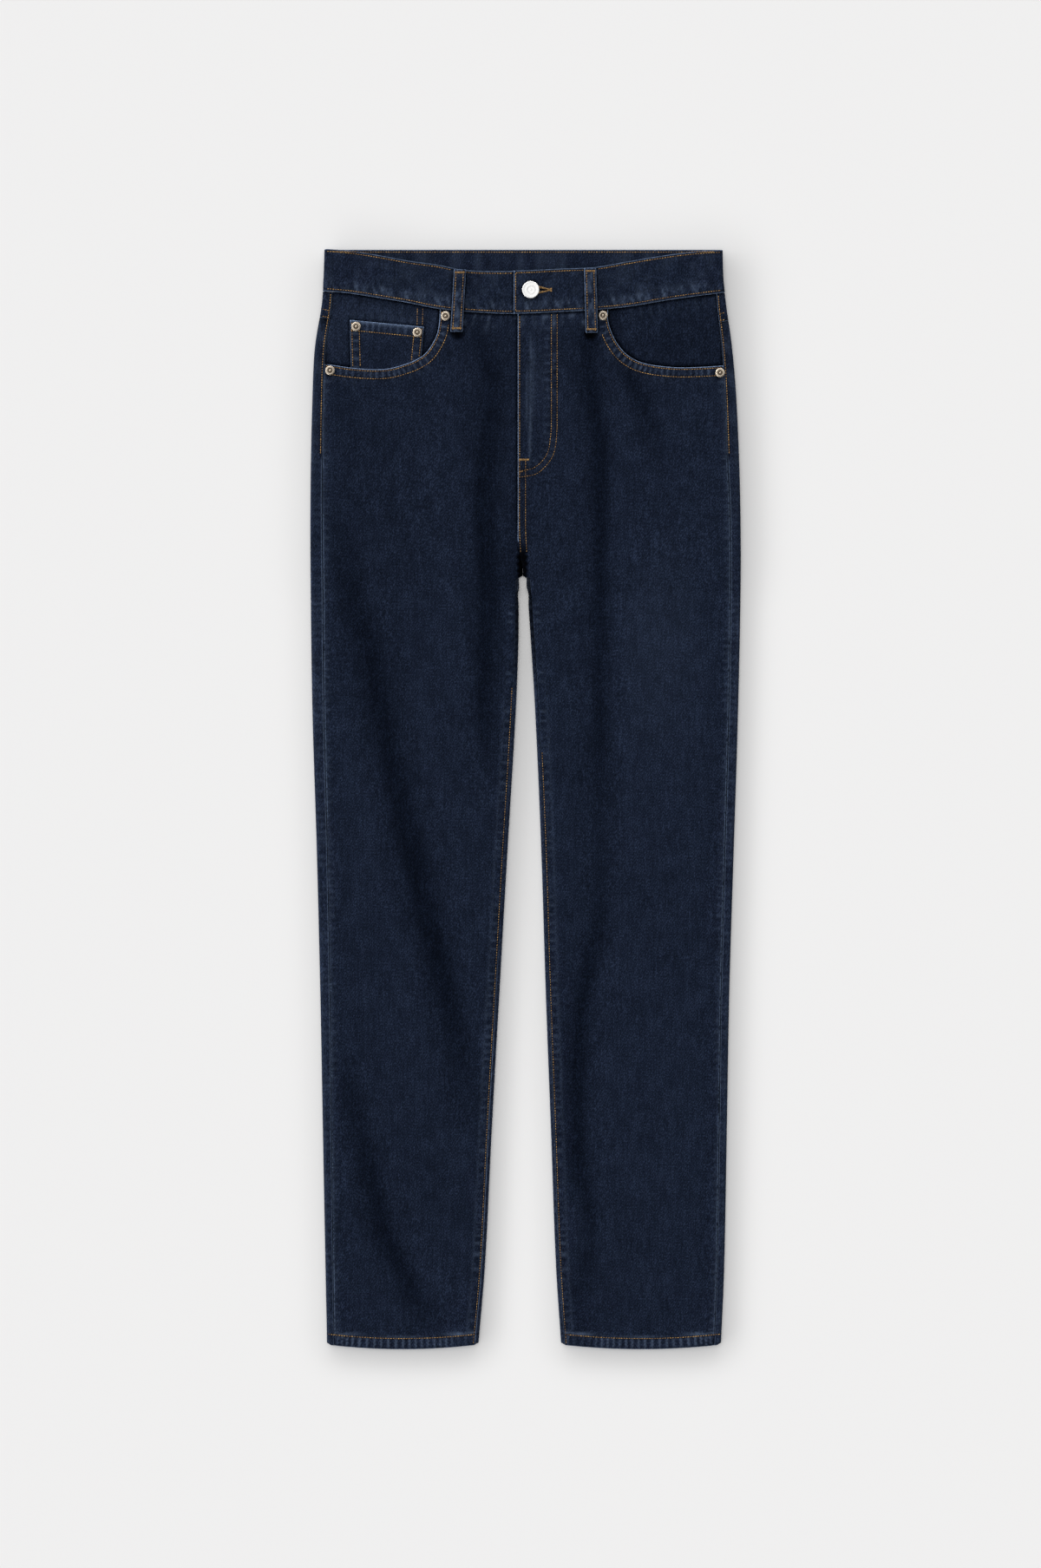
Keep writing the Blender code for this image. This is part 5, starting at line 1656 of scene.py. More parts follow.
# %% The waistband's surface
def band_fields(stations, section):
    run = np.concatenate([[0], np.cumsum(np.hypot(*np.diff(stations[:, :2], axis=0).T))])
    tangent = np.gradient(stations[:, :2], axis=0)
    tangent /= np.hypot(*tangent.T)[:, None]

    def place_of(column, row):
        column, row = column.astype(int), row.astype(int) % len(section)
        x, z, top, bottom = stations[column].T
        share, wall = section[row].T
        tall = top - bottom
        up = share * tall
        out = wall * BAND_WALL / 2
        s = run[column]
        face = wall > 0.9
        front = (tangent[column, 0] > 0.3) & face
        pucker = 0.22 * ease(13, 7, up) * ease(0, 2, up) * ripple(s, 8.5, 101)
        pucker = pucker + 0.08 * ease(tall - 8, tall - 4, up) * ripple(s, 7.5, 103)
        soft = 0.14 * rumple(s, up, 17, 7, 105) + 0.07 * rumple(s, up, 6, 4, 107)
        seam = 0.22 * ease(11, 9, up) - 0.25 * bell(up - BAND_FOOT_ROW, 0.8)
        seam = seam - 0.22 * bell(tall - BAND_TOP_ROW - up, 0.8)
        out = out + np.where(front, pucker + soft + seam, 0)
        inner_face = (wall < -0.9) & (tangent[column, 0] < -0.3)
        out = out - np.where(inner_face, 0.2 * rumple(s, up, 5.5, 22, 109) + 0.1, 0)
        normal_x, normal_z = -tangent[column, 1], tangent[column, 0]
        height = bottom + up
        side_x = np.where(x < 0, outer_x("right", height) - outer_x("right", BAND_LEVEL),
                          outer_x("left", height) - outer_x("left", BAND_LEVEL))
        px = x + normal_x * out + side_x * ease(60, 190, np.abs(x))
        end = np.minimum(s, run[-1] - s)
        pz = z + normal_z * out * ease(-1.2, 1.0, end)
        folded = np.minimum(np.abs(tall - up), np.abs(up))
        stroke = np.clip(rumple(s + 0.4 * up, up, 2.1, 8, 117) - 0.2, 0, 1)
        wear = 0.24 * ease(17, 6, up) * ease(2.5, 4, up) * stroke * face
        crests = np.clip(ripple(s + 0.5 * up, 8.5, 101) - 0.3, 0, 1)
        wear = wear + 0.10 * ease(14, 8, up) * crests * front
        wear = wear + 0.03 * np.clip(rumple(s, up, 9, 6, 119), 0, 1) * face
        wear = wear + 0.05 * inner_face * np.clip(rumple(s, up, 3.5, 24, 121), 0, 1)
        tone_and_painted_shade = np.where(face, 0.07, 0.10) + 0.05 * (folded > 4) * face
        tone_and_painted_shade = tone_and_painted_shade + np.where(front, painted_contact_shadow(px, height), 0)
        # Painted shadow on the under end of the band, beside the tab's end that lies over it.
        tab_off = np.maximum(TAB_END_X - px, 0)
        by_tab = front & (px < TAB_END_X) & (px > -30)
        tone_and_painted_shade = tone_and_painted_shade + np.where(by_tab, 1.8, 0) * bell(tab_off, 1.5)
        edges = [(tall - up, 0.25), (up, 0.45), (np.where(s < 100, end, FAR), 0.5)]
        rows = [up - 2.3 / 40 * tall, tall - up - BAND_TOP_ROW, np.where(s < 100, end - 1.8, FAR)]
        return np.column_stack([px, height - LENGTH / 2, pz]), marks(wear, tone_and_painted_shade, edges, rows)

    return place_of


print("waistband wall:", BAND_WALL, "mm")

# %% [markdown]
# ## Cutting the buttonhole
# The strip is closed first. A Boolean then opens the keyhole, because a hole with its own
# outline doesn't follow the grid.


# %% Cutting the buttonhole
def keyhole_cutter():
    """A closed prism with the buttonhole's outline: a round eye and a narrow slit."""
    eye, slit_end, slit_half, spread = SHANK_RADIUS + SEAM_GAP, 21.5, 0.9, math.radians(28)
    angles = np.linspace(spread, 2 * math.pi - spread, 19)
    ring = [(BUTTON_X + eye * math.cos(a), eye * math.sin(a)) for a in angles]
    ring += [(12.5, -1.5), (17.0, -1.25), (slit_end, -slit_half), (slit_end + 0.8, 0)]
    ring += [(slit_end, slit_half), (17.0, 1.25), (12.5, 1.5)]
    low, high = UNDER_BAND_Z + BAND_WALL / 2 + 0.15, TAB_Z + BAND_WALL / 2 + 1.5
    bm = bmesh.new()
    verts = [
        bm.verts.new(Vector((x, BUTTON_HEIGHT - LENGTH / 2 + y, low)) * MM) for x, y in ring
    ]
    face = bm.faces.new(verts)
    lifted = bmesh.ops.extrude_face_region(bm, geom=[face])["geom"]
    moved = [g for g in lifted if isinstance(g, bmesh.types.BMVert)]
    bmesh.ops.translate(bm, vec=(0, 0, (high - low) * MM), verts=moved)
    bmesh.ops.recalc_face_normals(bm, faces=bm.faces)
    return placed("keyhole_cutter", built(bm, "keyhole_cutter"))


def applied(made):
    """Turn an object's modifiers into its mesh."""
    graph = bpy.context.evaluated_depsgraph_get()
    mesh = bpy.data.meshes.new_from_object(made.evaluated_get(graph), depsgraph=graph)
    made.modifiers.clear()
    made.data = mesh
    return made


stations, section = band_line(), band_section()
mesh = grid_cloth(
    "denim_waistband", len(stations) - 1, len(section), band_fields(stations, section), around=True,
)
band = dress("denim_waistband", mesh, "waistband", (DENIM_OUT,))
cutter = keyhole_cutter()
hole = band.modifiers.new("buttonhole", "BOOLEAN")
hole.operation = "DIFFERENCE"
hole.solver = "EXACT"
hole.object = cutter
applied(band)
bpy.data.objects.remove(cutter)

# %% [markdown]
# ## Belt loops
# A belt loop is a narrow strip with two rows of stitches, its ends folded under and tacked
# down with dense bars. In section it is a flat tube whose stitch rows sit in two grooves.
# The three at the back lie between the band and the floor.

# %% Belt loops
LOOP_ROWS = 44
LOOP_SECTION = np.array([
    (-5.75, -0.30), (-5.0, 0.0), (-4.4, 0.02), (-3.7, -0.26), (-3.0, 0.05), (-1.5, 0.14),
    (0.0, 0.10), (1.5, 0.14), (3.0, 0.05), (3.7, -0.26), (4.4, 0.02), (5.0, 0.0),
    (5.75, -0.30), (6.0, -1.0), (5.75, -1.75), (4.0, -2.0), (0.0, -2.0), (-4.0, -2.0),
    (-5.75, -1.75), (-6.0, -1.0),
])


def loop_fields(side, top, foot, seed):
    top, foot = np.array(top), np.array(foot)
    length = math.hypot(*(top - foot))

    def face(x, height):
        over_panel = front_z(side, x, np.minimum(height, band_bottom(x)))
        below = band_bottom(x) - height
        return mix(band_face(side, x), over_panel, ease(1, 12, below)) + SEAM_GAP + LOOP_WALL

    def place_of(column, row):
        across, wall = LOOP_SECTION[row.astype(int) % len(LOOP_SECTION)].T
        share = column / LOOP_ROWS
        middle = mix(foot[0], top[0], share)
        height = mix(foot[1], top[1], share)
        z = np.max([face(middle + LOOP_WIDTH * e, height) for e in (-0.5, 0, 0.5)], axis=0)
        run = share * length
        end = np.minimum(run, length - run)
        outer = wall > -0.5
        z = z + wall + outer * (
            0.25 * ease(8.5, 7, end) + 0.10 * ripple(run, 7, seed) - 0.4 * ease(1.0, 0, end)
            - 0.22 * bell(end - 3.2, 0.8)
        )
        wear = 0.14 * outer * np.clip(rumple(across, run, 2, 5, seed + 2) + 0.3, 0, 1)
        wide = 1 + 0.02 * ripple(run, 9, seed + 3)
        edges = [(LOOP_WIDTH / 2 - np.abs(across), 0.38), (end, 0.35)]
        rows = [LOOP_ROW - np.abs(across)]
        places = np.column_stack([middle + across * wide, height - LENGTH / 2, z])
        return places, marks(wear, 0 * wear, edges, rows)

    return place_of


def back_loop_fields(x):
    foot, top = 1029.0, 1089.0

    def place_of(column, row):
        across, wall = LOOP_SECTION[row.astype(int) % len(LOOP_SECTION)].T
        height = mix(foot, top, column / LOOP_ROWS)
        z = np.clip(0.15 - wall, 0, LOOP_WALL)
        edges = [(LOOP_WIDTH / 2 - np.abs(across), 0.6)]
        numbers = marks(0 * z, 0 * z, edges, [LOOP_ROW - np.abs(across)])
        return np.column_stack([x + across, height - LENGTH / 2, z]), numbers

    return place_of


def loop_piece(name, node, fields):
    mesh = grid_cloth(name, LOOP_ROWS, len(LOOP_SECTION), fields, around=True)
    made = dress(name, mesh, node, (DENIM_OUT,))
    declare(made)


for seed, (node, (side, top, foot)) in enumerate(FRONT_LOOPS.items()):
    loop_piece(
        node.replace("belt", "denim"), node, loop_fields(side, top, foot, 131 + 7 * seed),
    )
for node, x in BACK_LOOPS.items():
    loop_piece(node.replace("belt", "denim"), node, back_loop_fields(x))

# %% [markdown]
# ## Stitches
# Jeans are sewn with thick tan thread, about 2.5 mm a stitch. Each stitch is a small grain
# of thread that sinks into the cloth at both ends, so one squashed sphere of 36 faces is
# modelled and repeated along every seam line, a whole row at a time. To lie on the cloth,
# whichever piece is uppermost, each is dropped straight down onto all the cloth made so far.

# %% A grain of thread
def thread_grain():
    bm = bmesh.new()
    bmesh.ops.create_uvsphere(bm, u_segments=6, v_segments=4, radius=0.5)
    bmesh.ops.triangulate(bm, faces=bm.faces)
    bm.verts.index_update()
    points = np.array([v.co[:] for v in bm.verts])[:, [2, 0, 1]]
    faces = np.array([[v.index for v in f.verts] for f in bm.faces])
    bm.free()
    return points, faces


GRAIN_POINTS, GRAIN_FACES = thread_grain()


def cloth_tree():
    """Every piece of cloth so far, as one shape that rays can hit."""
    graph = bpy.context.evaluated_depsgraph_get()
    points, faces, start = [], [], 0
    for made in CLOTH:
        mesh = made.evaluated_get(graph).to_mesh()
        points.append(points_of(mesh))
        faces.append(triangles_of(mesh) + start)
        start += len(mesh.vertices)
    return BVHTree.FromPolygons(np.vstack(points).tolist(), np.vstack(faces).tolist())


TREE = cloth_tree()
print("one stitch:", len(GRAIN_FACES), "faces")

# %% [markdown]
# ## Laying a row of stitches
# A ray from above, or from below for the hidden side, finds where each stitch meets the
# cloth. Each is turned along the row and to the slope, and no two are quite the same size.


# %% Laying a row of stitches
def landed(places, below=False):
    """Where places (x, height) meet the cloth from above or below, in millimetres."""
    found = []
    start, way = (-0.02, Vector((0, 0, 1))) if below else (0.05, Vector((0, 0, -1)))
    for x, height in places:
        hit = TREE.ray_cast(Vector((x * MM, (height - LENGTH / 2) * MM, start)), way)[0]
        found.append(np.array([x, height - LENGTH / 2, np.nan if hit is None else hit.z / MM]))
    return np.array(found)


def stitch_row(path, pitch=2.55, long=2.0, wide=0.84, tall=0.7, below=False, turn=0.0, seed=1):
    """Places, directions and sizes of the stitches along one row."""
    path = spaced(path, pitch)
    ground = landed(path, below)
    middle = (ground[1:] + ground[:-1]) / 2
    along = np.diff(ground, axis=0)
    steep = np.abs(along[:, 2]) > 1.2 * pitch
    along[steep, 2] = 0
    middle[steep, 2] = np.fmax(ground[1:, 2], ground[:-1, 2])[steep]
    kept = np.isfinite(middle).all(axis=1)
    middle, along = middle[kept], along[kept]
    along = along / np.linalg.norm(along, axis=1)[:, None]
    uneven = np.random.default_rng(seed).uniform(-1, 1, (len(middle), 4))
    angle = turn + 0.07 * uneven[:, 0]
    cosine, sine = np.cos(angle)[:, None], np.sin(angle)[:, None]
    flat = np.column_stack([-along[:, 1], along[:, 0], np.zeros(len(along))])
    along = along * cosine + flat * sine
    sizes = np.column_stack([
        long * (1 + 0.10 * uneven[:, 1]), wide * (1 + 0.10 * uneven[:, 2]),
        np.full(len(middle), tall),
    ])
    middle[:, 2] += (-1 if below else 1) * 0.06
    return middle, along, sizes


def sew(name, rows):
    """All the stitches of some rows as one piece."""
    middle, along, sizes = (np.vstack([row[k] for row in rows]) for k in range(3))
    up = np.zeros_like(along)
    up[:, 2] = 1
    across = np.cross(up, along)
    across /= np.linalg.norm(across, axis=1)[:, None]
    up = np.cross(along, across)
    axes = np.stack([along, across, up], axis=1) * sizes[:, :, None]
    points = np.einsum("pk,nkc->npc", GRAIN_POINTS, axes) + middle[:, None, :]
    count = len(GRAIN_POINTS)
    faces = GRAIN_FACES[None] + (np.arange(len(middle)) * count)[:, None, None]
    mesh = bpy.data.meshes.new(name)
    mesh.from_pydata((points.reshape(-1, 3) * MM).tolist(), [], faces.reshape(-1, 3).tolist())
    give(mesh, "shade", np.repeat(np.random.default_rng(7).uniform(0, 1, len(middle)), count))
    made = placed(name, mesh, (THREAD,))
    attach(made, "root")
    print(f"{name}: {len(middle)} stitches, {len(mesh.polygons)} faces")


print("cloth to sew on:", len(CLOTH), "pieces")

# %% [markdown]
# ## Thread
# Topstitching thread is a polyester core wrapped in cotton, in a golden tan that wears
# brown. It is matt with a faint gleam, and no two stitches take the light alike, so each
# carries its own shade number.

# %% Thread finish
THREAD, tree, shader = new_finish("tan_topstitch_thread", {
    "Roughness": 0.6, "Specular IOR Level": 0.25, "IOR": 1.5,
})
place = add(tree, "TexCoord")["Object"]
own_shade = add(tree, "Attribute", attribute_name="shade")["Fac"]
fibre = add(tree, "TexNoise", {"Vector": place, "Scale": 1500.0})[0]
patchy = add(tree, "TexNoise", {"Vector": place, "Scale": 45.0})[0]
tint = 0.0
for part, share in ((own_shade, 0.4), (patchy, 0.6), (fibre, 0.15)):
    tint = add(tree, "Math", {0: part, 1: share, 2: tint}, operation="MULTIPLY_ADD")[0]
colour = add(tree, "ValToRGB", {"Fac": tint}, stops=(
    (0.25, "#463422"), (0.55, "#7D5F38"), (0.85, "#AB8853"),
))["Color"]
tree.links.new(colour, shader.inputs["Base Color"])
ply = add(tree, "Bump", {"Height": fibre, "Distance": 0.0002, "Strength": 0.4})[0]
tree.links.new(ply, shader.inputs["Normal"])
print("thread finish:", THREAD.name)

# %% [markdown]
# ## Where the seams are sewn
# The rows are the ones that every pair of five-pocket jeans has: double rows on the pocket
# mouths, coin pocket, fly, rise and yokes, single rows on the waistband, inseams and hems,
# and dense bars, the bartacks, where a seam takes strain. Most are an edge from the tables
# moved in by a fixed distance, so `beside` moves a line sideways.


# %% Seam lines
SATIN_PITCH = 0.42


def bar(start, end, wide=2.2, seed=3, below=False):
    """A bartack: stitches side by side, across the line from start to end."""
    return stitch_row(
        np.array([start, end], float), pitch=SATIN_PITCH, long=wide, wide=0.5, tall=0.6,
        below=below, turn=math.pi / 2 - 0.12, seed=seed,
    )


rows = []
for side in SIGN:
    rows += [stitch_row(row, seed=11 + k) for k, row in enumerate(FRONT_ROWS[side][:2])]
sew("stitching_pocket_mouths", rows)

rows = []
above_mouth = float(np.interp(-168, MOUTH_PATH["right"][:, 0], MOUTH_PATH["right"][:, 1])) + 1.5
outer, inner = COIN_SIDES
rows.append(stitch_row(COIN_ROWS[0] + [[1.5, 0], [-1.5, 0]], seed=21))
for off in COIN_ROW_OFFS:
    row = beside(outer, off)
    rows.append(stitch_row(within(row, above_mouth, 1018, axis=1), seed=22))
    row = within(beside(inner, -off), 975, 1012, axis=1)
    row = row[distance(MOUTH_PATH["right"], row[:, 0], row[:, 1])[0] > 1.0]
    rows.append(stitch_row(row, seed=23))
heights = stepped(1015, 1032, 2)
for x in (-107.2, -101.9):
    rows.append(stitch_row(line(x + 0.02 * (heights - 1015), heights), seed=24))
sew("stitching_coin_pocket", rows)

rows = [stitch_row(row, wide=0.68, seed=31 + k) for k, row in enumerate(FRONT_ROWS["left"][4:])]
rows.append(bar((-6.4, 881.7), (3.8, 881.7), seed=36))
rows.append(bar((-6.2, 869.8), (-2.4, 869.8), wide=1.2, seed=37))
sew("stitching_fly", rows)

# %% [markdown]
# ## Waistband and loop stitches
# The band's two rows stop at the loops, whose ends are tacked down with bars.

# %% Waistband and loop stitches
rows = []
for k, (start, end) in enumerate((
    (-196.5, -73.6), (-59.6, TAB_END_X - 1.5), (TAB_END_X + 1.7, 58.0), (72.0, 193.5),
)):
    xs = stepped(start, end, 4)
    rows.append(stitch_row(line(xs, band_top(xs) - BAND_TOP_ROW), seed=41 + k))
    rows.append(stitch_row(line(xs, band_bottom(xs) + BAND_FOOT_ROW), seed=43 + k))
tab_up = stepped(
    float(band_bottom(TAB_END_X)) + BAND_FOOT_ROW, float(band_top(TAB_END_X)) - BAND_TOP_ROW, 3,
)
rows.append(stitch_row(line(TAB_END_X + 1.8, tab_up), seed=45))
back_xs = stepped(-190, 187, 4)
rows.append(stitch_row(line(back_xs, BACK_BAND_TOP - 2.0), seed=46))
rows.append(stitch_row(line(back_xs, BACK_BAND_TOP - 2.0), seed=47, below=True))
rows.append(stitch_row(line(back_xs, BACK_BAND_BOTTOM + BAND_FOOT_ROW), seed=48, below=True))
sew("stitching_waistband", rows)

rows = []
for k, (side, top, foot) in enumerate(FRONT_LOOPS.values()):
    top, foot = np.array(top), np.array(foot)
    way = (top - foot) / math.hypot(*(top - foot))
    for off in (-LOOP_ROW, LOOP_ROW):
        row = np.array([foot + way * 1.5, top - way * 1.5]) + [off, 0]
        rows.append(stitch_row(row, pitch=2.7, long=2.2, seed=51 + k))
    for at_end in (foot + way * 3.4, top - way * 3.0):
        rows.append(bar(at_end + [-4.9, 0], at_end + [4.9, 0], wide=2.1, seed=53 + k))
for k, x in enumerate(BACK_LOOPS.values()):
    for off in (-LOOP_ROW, LOOP_ROW):
        row = line(x + off, stepped(1031, 1087, 4))
        rows.append(stitch_row(row, pitch=2.7, long=2.2, seed=55 + k, below=True))
    for height in (1032.5, 1086):
        rows.append(bar((x - 4.9, height), (x + 4.9, height), wide=1.5, seed=57, below=True))
sew("stitching_loops", rows)

# %% [markdown]
# ## Leg and back stitches
# The hidden side is sewn too: the yokes, the back pockets, the seat seam and the hems.

# %% Leg and back stitches
rows = []
for side, sign in SIGN.items():
    side_h = stepped(887.5, float(band_bottom(outseam_x(side, 1045))) - 2, 4)
    rows.append(stitch_row(line(outseam_x(side, side_h) + sign * OUTSEAM_ROW, side_h), seed=61))
    hem_row, inner_row = FRONT_ROWS[side][2:4]
    rows.append(stitch_row(inner_row, long=1.75, wide=0.7, tall=0.5, seed=62))
    rows.append(stitch_row(hem_row, long=2.0, wide=0.85, seed=63))
    rows.append(stitch_row(hem_row, seed=64, below=True))
    edge_xs = stepped(
        float(outseam_x(side, 1022)) + sign * 0.6, float(outer_x(side, 1022)) - sign * 0.3, 2,
    )
    for up in YOKE_ROWS_UP:
        rows.append(stitch_row(line(edge_xs, yoke_height(side, edge_xs) + up), seed=65))
sew("stitching_legs", rows)

rows = []
for side in SIGN:
    sign = SIGN[side]
    back_line = stepped(MIDDLE_X + sign * 9, float(outer_x(side, 1020)) - sign * 1.5, 5)
    for up in YOKE_ROWS_UP:
        row = line(back_line, yoke_height(side, back_line) + up)
        rows.append(stitch_row(row, seed=71, below=True))
    corners = pocket_corners(side)
    for off in POCKET_ROW_OFFS:
        rows.append(stitch_row(beside(spaced(corners, 1.0), off), seed=72, below=True))
    top = corners[[0, -1]] - [[-2, 0], [2, 0]]
    for off in (2.0, 13.0):
        rows.append(stitch_row(top - [0, off], seed=73, below=True))
for off in (1.8, 8.0):
    rows.append(stitch_row(line(MIDDLE_X + off, stepped(770, 1046, 6)), seed=74, below=True))
sew("stitching_back", rows)

# %% [markdown]
# ## The buttonhole's edge
# A jeans buttonhole is a keyhole, bound all round with close satin stitches that fan about
# its eye and meet in a bar past its end. Only its right half shows beside the button.


# %% Buttonhole
def satin(points, inward, seed):
    """Close stitches across a line, each lying from the hole's edge outwards."""
    ground = landed(points)
    keep = np.isfinite(ground).all(axis=1)
    ground = ground[keep]
    way = np.column_stack([inward[keep], np.zeros(keep.sum())])
    uneven = np.random.default_rng(seed).uniform(-1, 1, (len(ground), 2))
    sizes = np.column_stack([
        2.1 + 0.15 * uneven[:, 0], np.full(len(ground), 0.46), 0.62 + 0.05 * uneven[:, 1],
    ])
    ground[:, 2] = np.median(ground[:, 2]) + 0.12
    return ground, way, sizes


slit = spaced([(10.8, 3.4), (13.85, 2.7), (18.0, 1.85), (22.0, 1.05)], SATIN_PITCH)
share = ease(10, 22.5, slit[:, 0])
across = np.column_stack([0.12 + 0.25 * share, np.ones(len(slit))])
across /= np.hypot(*across.T)[:, None]
rows = []
for mirror in (1, -1):
    middle, way, sizes = satin(slit * [1, mirror] + [0, BUTTON_HEIGHT], across * [1, mirror], 81)
    sizes[:, 0] *= mix(1.15, 0.75, share[:len(sizes)])
    rows.append((middle, way, sizes))
for x, half in ((22.6, 1.3), (23.6, 1.0), (24.7, 1.4), (25.7, 2.0)):
    ends = (x, BUTTON_HEIGHT - half), (x + 0.3, BUTTON_HEIGHT + half)
    rows.append(bar(*ends, wide=1.5, seed=82))
sew("stitching_buttonhole", rows)

# %% [markdown]
# ## Turned metal
# The shank button and the rivet caps are pressed sheet metal, round about one axis, so each
# is half a section spun round. The button's face has a rolled rim, a shallow dish, a raised
# ring and a small flat boss. Its shank runs down through the buttonhole to a tack.


# %% Turned metal
def spun(name, profile, centre, foot, steps, finish, node, ring=0.0, ring_dark=0.0):
    """Spin a half section (radius, height), listed from the top down, about its axis."""
    bm = bmesh.new()
    verts = [bm.verts.new((radius * MM, 0, z * MM)) for radius, z in profile]
    edges = [bm.edges.new(pair) for pair in zip(verts, verts[1:])]
    bmesh.ops.spin(
        bm, geom=verts + edges, cent=(0, 0, 0), axis=(0, 0, 1), dvec=(0, 0, 0),
        angle=2 * math.pi, steps=steps, use_merge=True,
    )
    bmesh.ops.remove_doubles(bm, verts=bm.verts, dist=0.000005)
    bmesh.ops.recalc_face_normals(bm, faces=bm.faces)
    bmesh.ops.translate(
        bm, vec=Vector((centre[0], centre[1] - LENGTH / 2, foot)) * MM, verts=bm.verts,
    )
    mesh = built(bm, name)
    x, y, _ = points_of(mesh).T / MM
    away = np.hypot(x - centre[0], y + LENGTH / 2 - centre[1])
    give(mesh, "patina", ring_dark * bell(away - ring, 0.5))
    made = placed(name, mesh, (finish,))
    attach(made, "root")
    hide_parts(node)
    print(f"{name}: {len(mesh.polygons)} faces")


print("turned pieces:", 1 + len(RIVETS))

# %% [markdown]
# ## Plated finishes
# The button is plated in bright nickel, and the rivets in nickel that was darkened and then
# rubbed back on the high parts. Plating is even, so only fine scratches and dull patches
# break it up. Patches are 2 mm wide and scratches half a millimetre.


# %% Plated finishes
def metal_finish(name, light, dark, rough, scratch_scale):
    """A plated metal: patches where it is duller, and `patina` that stays in its grooves."""
    finish, tree, shader = new_finish(name, {"Metallic": 1.0})
    place = add(tree, "TexCoord")["Object"]
    patches = add(tree, "TexNoise", {"Vector": place, "Scale": 420.0, "Detail": 4.0})[0]
    scratches = add(tree, "TexNoise", {"Vector": place, "Scale": scratch_scale, "Detail": 2.0})[0]
    colour = add(tree, "ValToRGB", {"Fac": patches}, stops=(
        (0.35, dark), (0.6, light),
    ))["Color"]
    patina = add(tree, "Attribute", attribute_name="patina")["Fac"]
    colour = add(tree, "Mix", {
        0: patina, 6: colour, 7: "#4B3F35",
    }, data_type="RGBA", blend_type="MULTIPLY")[2]
    tree.links.new(colour, shader.inputs["Base Color"])
    dull = add(tree, "Math", {0: patches, 1: 0.2, 2: rough - 0.1}, operation="MULTIPLY_ADD")[0]
    tree.links.new(dull, shader.inputs["Roughness"])
    bump = add(tree, "Bump", {"Height": scratches, "Distance": 0.00004, "Strength": 0.3})[0]
    tree.links.new(bump, shader.inputs["Normal"])
    return finish


NICKEL = metal_finish("bright_nickel_plate", "#E6E6E5", "#D8D8D7", 0.42, 2600.0)
ANTIQUE = metal_finish("antique_nickel_plate", "#B8AC9B", "#93887C", 0.32, 1900.0)
print("platings:", NICKEL.name, "and", ANTIQUE.name)

# %% [markdown]
# ## Button and rivets
# Each half section is listed from the top of the cap down, in mm from the axis.

# %% Button and rivets
rim = TAB_Z + BAND_WALL / 2 + SEAM_GAP
shank_foot = UNDER_BAND_Z + BAND_WALL / 2 + SEAM_GAP
BUTTON_PROFILE = (
    (0, rim + 1.82), (0.8, rim + 1.81), (1.2, rim + 1.72), (1.6, rim + 1.66), (2.8, rim + 1.66),
    (3.2, rim + 1.72), (3.55, rim + 1.87), (3.9, rim + 1.9), (4.3, rim + 1.84),
    (4.7, rim + 1.74), (5.6, rim + 1.74), (6.9, rim + 1.85), (7.5, rim + 2.0),
    (7.9, rim + 2.02), (8.3, rim + 1.8), (8.55, rim + 1.35),
    (BUTTON_RADIUS, rim + 0.8), (8.4, rim + 0.3), (7.9, rim + 0.05), (SHANK_RADIUS, rim),
    (SHANK_RADIUS, shank_foot), (TACK_RADIUS, shank_foot),
    (TACK_RADIUS, UNDER_BAND_Z - BAND_WALL / 2), (0, UNDER_BAND_Z - BAND_WALL / 2),
)
spun(
    "shank_button", BUTTON_PROFILE, (BUTTON_X, BUTTON_HEIGHT), 0, 64, NICKEL, "button",
    ring=4.9, ring_dark=0.12,
)
RIVET_PROFILE = (
    (0, 1.7), (0.6, 1.64), (1.0, 1.4), (1.2, 0.9), (1.35, 0.45), (1.75, 0.34), (2.15, 0.5),
    (2.45, 0.95), (2.9, 1.2), (3.5, 1.2), (4.1, 0.95), (4.55, 0.55), (RIVET_RADIUS, 0.2),
    (RIVET_RADIUS, 0), (0, 0),
)
for node, (_, centre) in RIVETS.items():
    low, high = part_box(node)
    spun(
        node.replace("rivet", "rivet_cap"), RIVET_PROFILE, centre, low[2] / MM, 40, ANTIQUE,
        node, ring=1.7, ring_dark=0.85,
    )

# %% [markdown]
# ## The zip
# The zip lies under the fly and keeps its plain solids, tape with its chain and a slider
# with its tab, because only their edges could ever show. They get their own finishes: woven
# navy tape, and bright metal.

# %% Zip finishes
TAPE, tree, shader = new_finish("woven_zip_tape", {"Roughness": 0.9, "Specular IOR Level": 0.1})
place = add(tree, "TexCoord")["Object"]
weave = add(tree, "TexWave", {
    "Vector": place, "Scale": 260.0, "Distortion": 1.0,
}, wave_type="BANDS", bands_direction="Y")[1]
colour = add(tree, "ValToRGB", {"Fac": weave}, stops=(
    (0.2, "#12161F"), (0.8, "#222938"),
))["Color"]
tree.links.new(colour, shader.inputs["Base Color"])
for node, finish in (("zip", TAPE), ("zip_slider", NICKEL)):
    solid = bpy.data.objects[node]
    if not solid.material_slots:
        solid.data.materials.append(finish)
    for slot in solid.material_slots:
        slot.material = finish
print("zip tape and slider finished")

# %% [markdown]
# ## Floor, light and camera
# The jeans lie on matt pale card. The light is a studio's: one wide soft box overhead, and
# white walls all round that send light in low, which is what gives thin things their broad
# soft shadow. Both are drawn in the world's shader, by the direction the light comes from.
# The upper left is a little brighter, so shadows fall to the right and towards the hems.

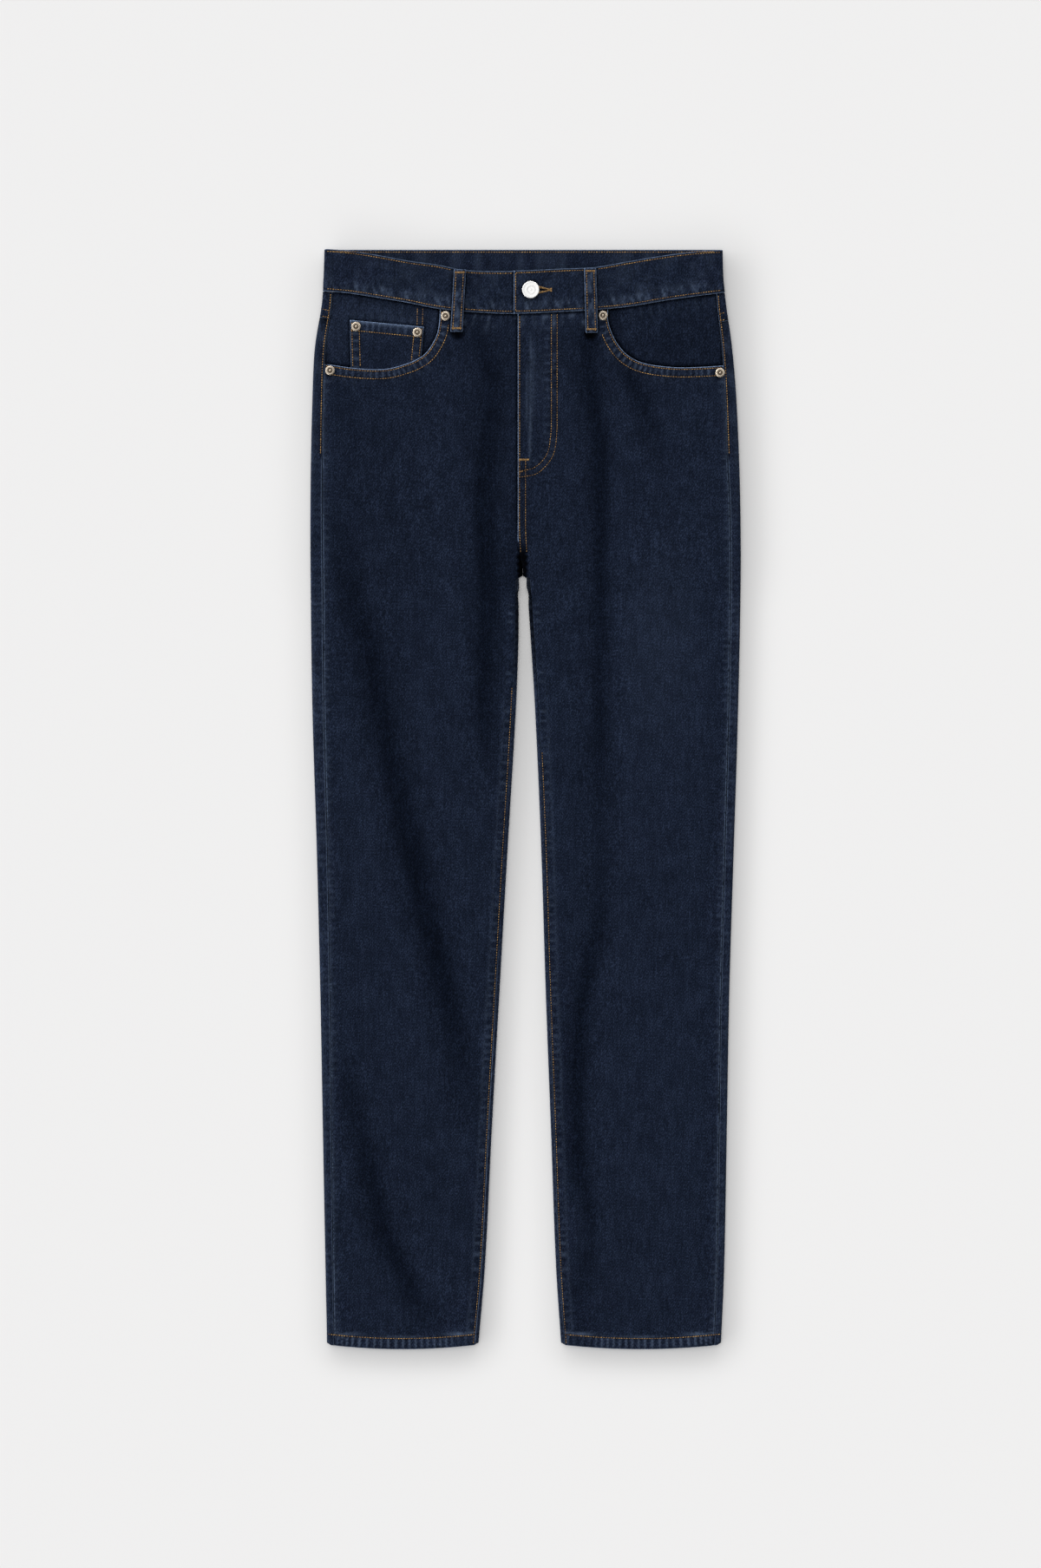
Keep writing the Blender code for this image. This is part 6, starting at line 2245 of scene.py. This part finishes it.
# %% Floor and light
bm = bmesh.new()
bmesh.ops.create_grid(bm, x_segments=1, y_segments=1, size=15)
bmesh.ops.translate(bm, vec=(0, 0, -0.0002), verts=bm.verts)
floor = placed("floor", built(bm, "floor"))
CARD, tree, shader = new_finish("pale_card", {
    "Base Color": (0.80, 0.797, 0.796, 1), "Roughness": 1.0, "Specular IOR Level": 0.0,
})
floor.data.materials.append(CARD)

world = bpy.data.worlds.new("studio")
bpy.context.scene.world = world
world.use_nodes = True
tree = world.node_tree
backdrop = tree.nodes["Background"]
way = add(tree, "TexCoord")["Generated"]
across, along, up = add(tree, "SeparateXYZ", {"Vector": way})
LIGHT_STEPS = (
    (0.08, 0.0), (0.1, 2.4), (0.12, 5.6), (0.14, 8.6), (0.165, 9.9), (0.19, 8.8), (0.22, 6.2),
    (0.27, 2.8), (0.33, 0.8), (0.45, 0.3), (0.6, 0.2), (0.8, 0.4), (0.9, 1.0), (1.0, 1.75),
)
TOP_LIGHT = 9.9
STUDIO = 1.053
LEAN = 0.61
steps = add(tree, "ValToRGB", {"Fac": up}, stops=[
    (position, (strength / TOP_LIGHT,) * 3 + (1.0,)) for position, strength in LIGHT_STEPS
])["Color"]
lean = add(tree, "Math", {0: along, 1: across}, operation="SUBTRACT")[0]
lean = add(tree, "Math", {0: lean, 1: LEAN, 2: 1.0}, operation="MULTIPLY_ADD")[0]
strength = add(tree, "Math", {0: lean, 1: TOP_LIGHT * STUDIO}, operation="MULTIPLY")[0]
strength = add(tree, "Math", {0: steps, 1: strength}, operation="MULTIPLY")[0]
tree.links.new(strength, backdrop.inputs["Strength"])
backdrop.inputs["Color"].default_value = (1.0, 1.0, 1.0, 1)

view = bpy.context.scene.view_settings
view.view_transform = "Standard"
view.look = "None"
print("floor 30 m square, light in", len(LIGHT_STEPS), "steps of height")

# %% [markdown]
# ## Camera
# The photograph looks straight down from far off, so a long lens is used: 100 mm at a little
# over 4 m keeps the hems as large as the waist. The frame is 1554 mm tall.

# %% Camera
FRAME_TALL = 1.554
LENS = 100.0
SENSOR = 36.0
CAMERA_X, CAMERA_Y, CLOTH_LEVEL = -0.0047, 0.0153, 0.006
lens = bpy.data.cameras.new("camera")
lens.lens = LENS
lens.sensor_width = SENSOR
lens.clip_end = 50
camera = bpy.data.objects.new("camera", lens)
camera.location = (CAMERA_X, CAMERA_Y, FRAME_TALL * LENS / SENSOR + CLOTH_LEVEL)
bpy.context.scene.collection.objects.link(camera)
bpy.context.scene.camera = camera
print("camera %.2f m above the floor" % camera.location.z)
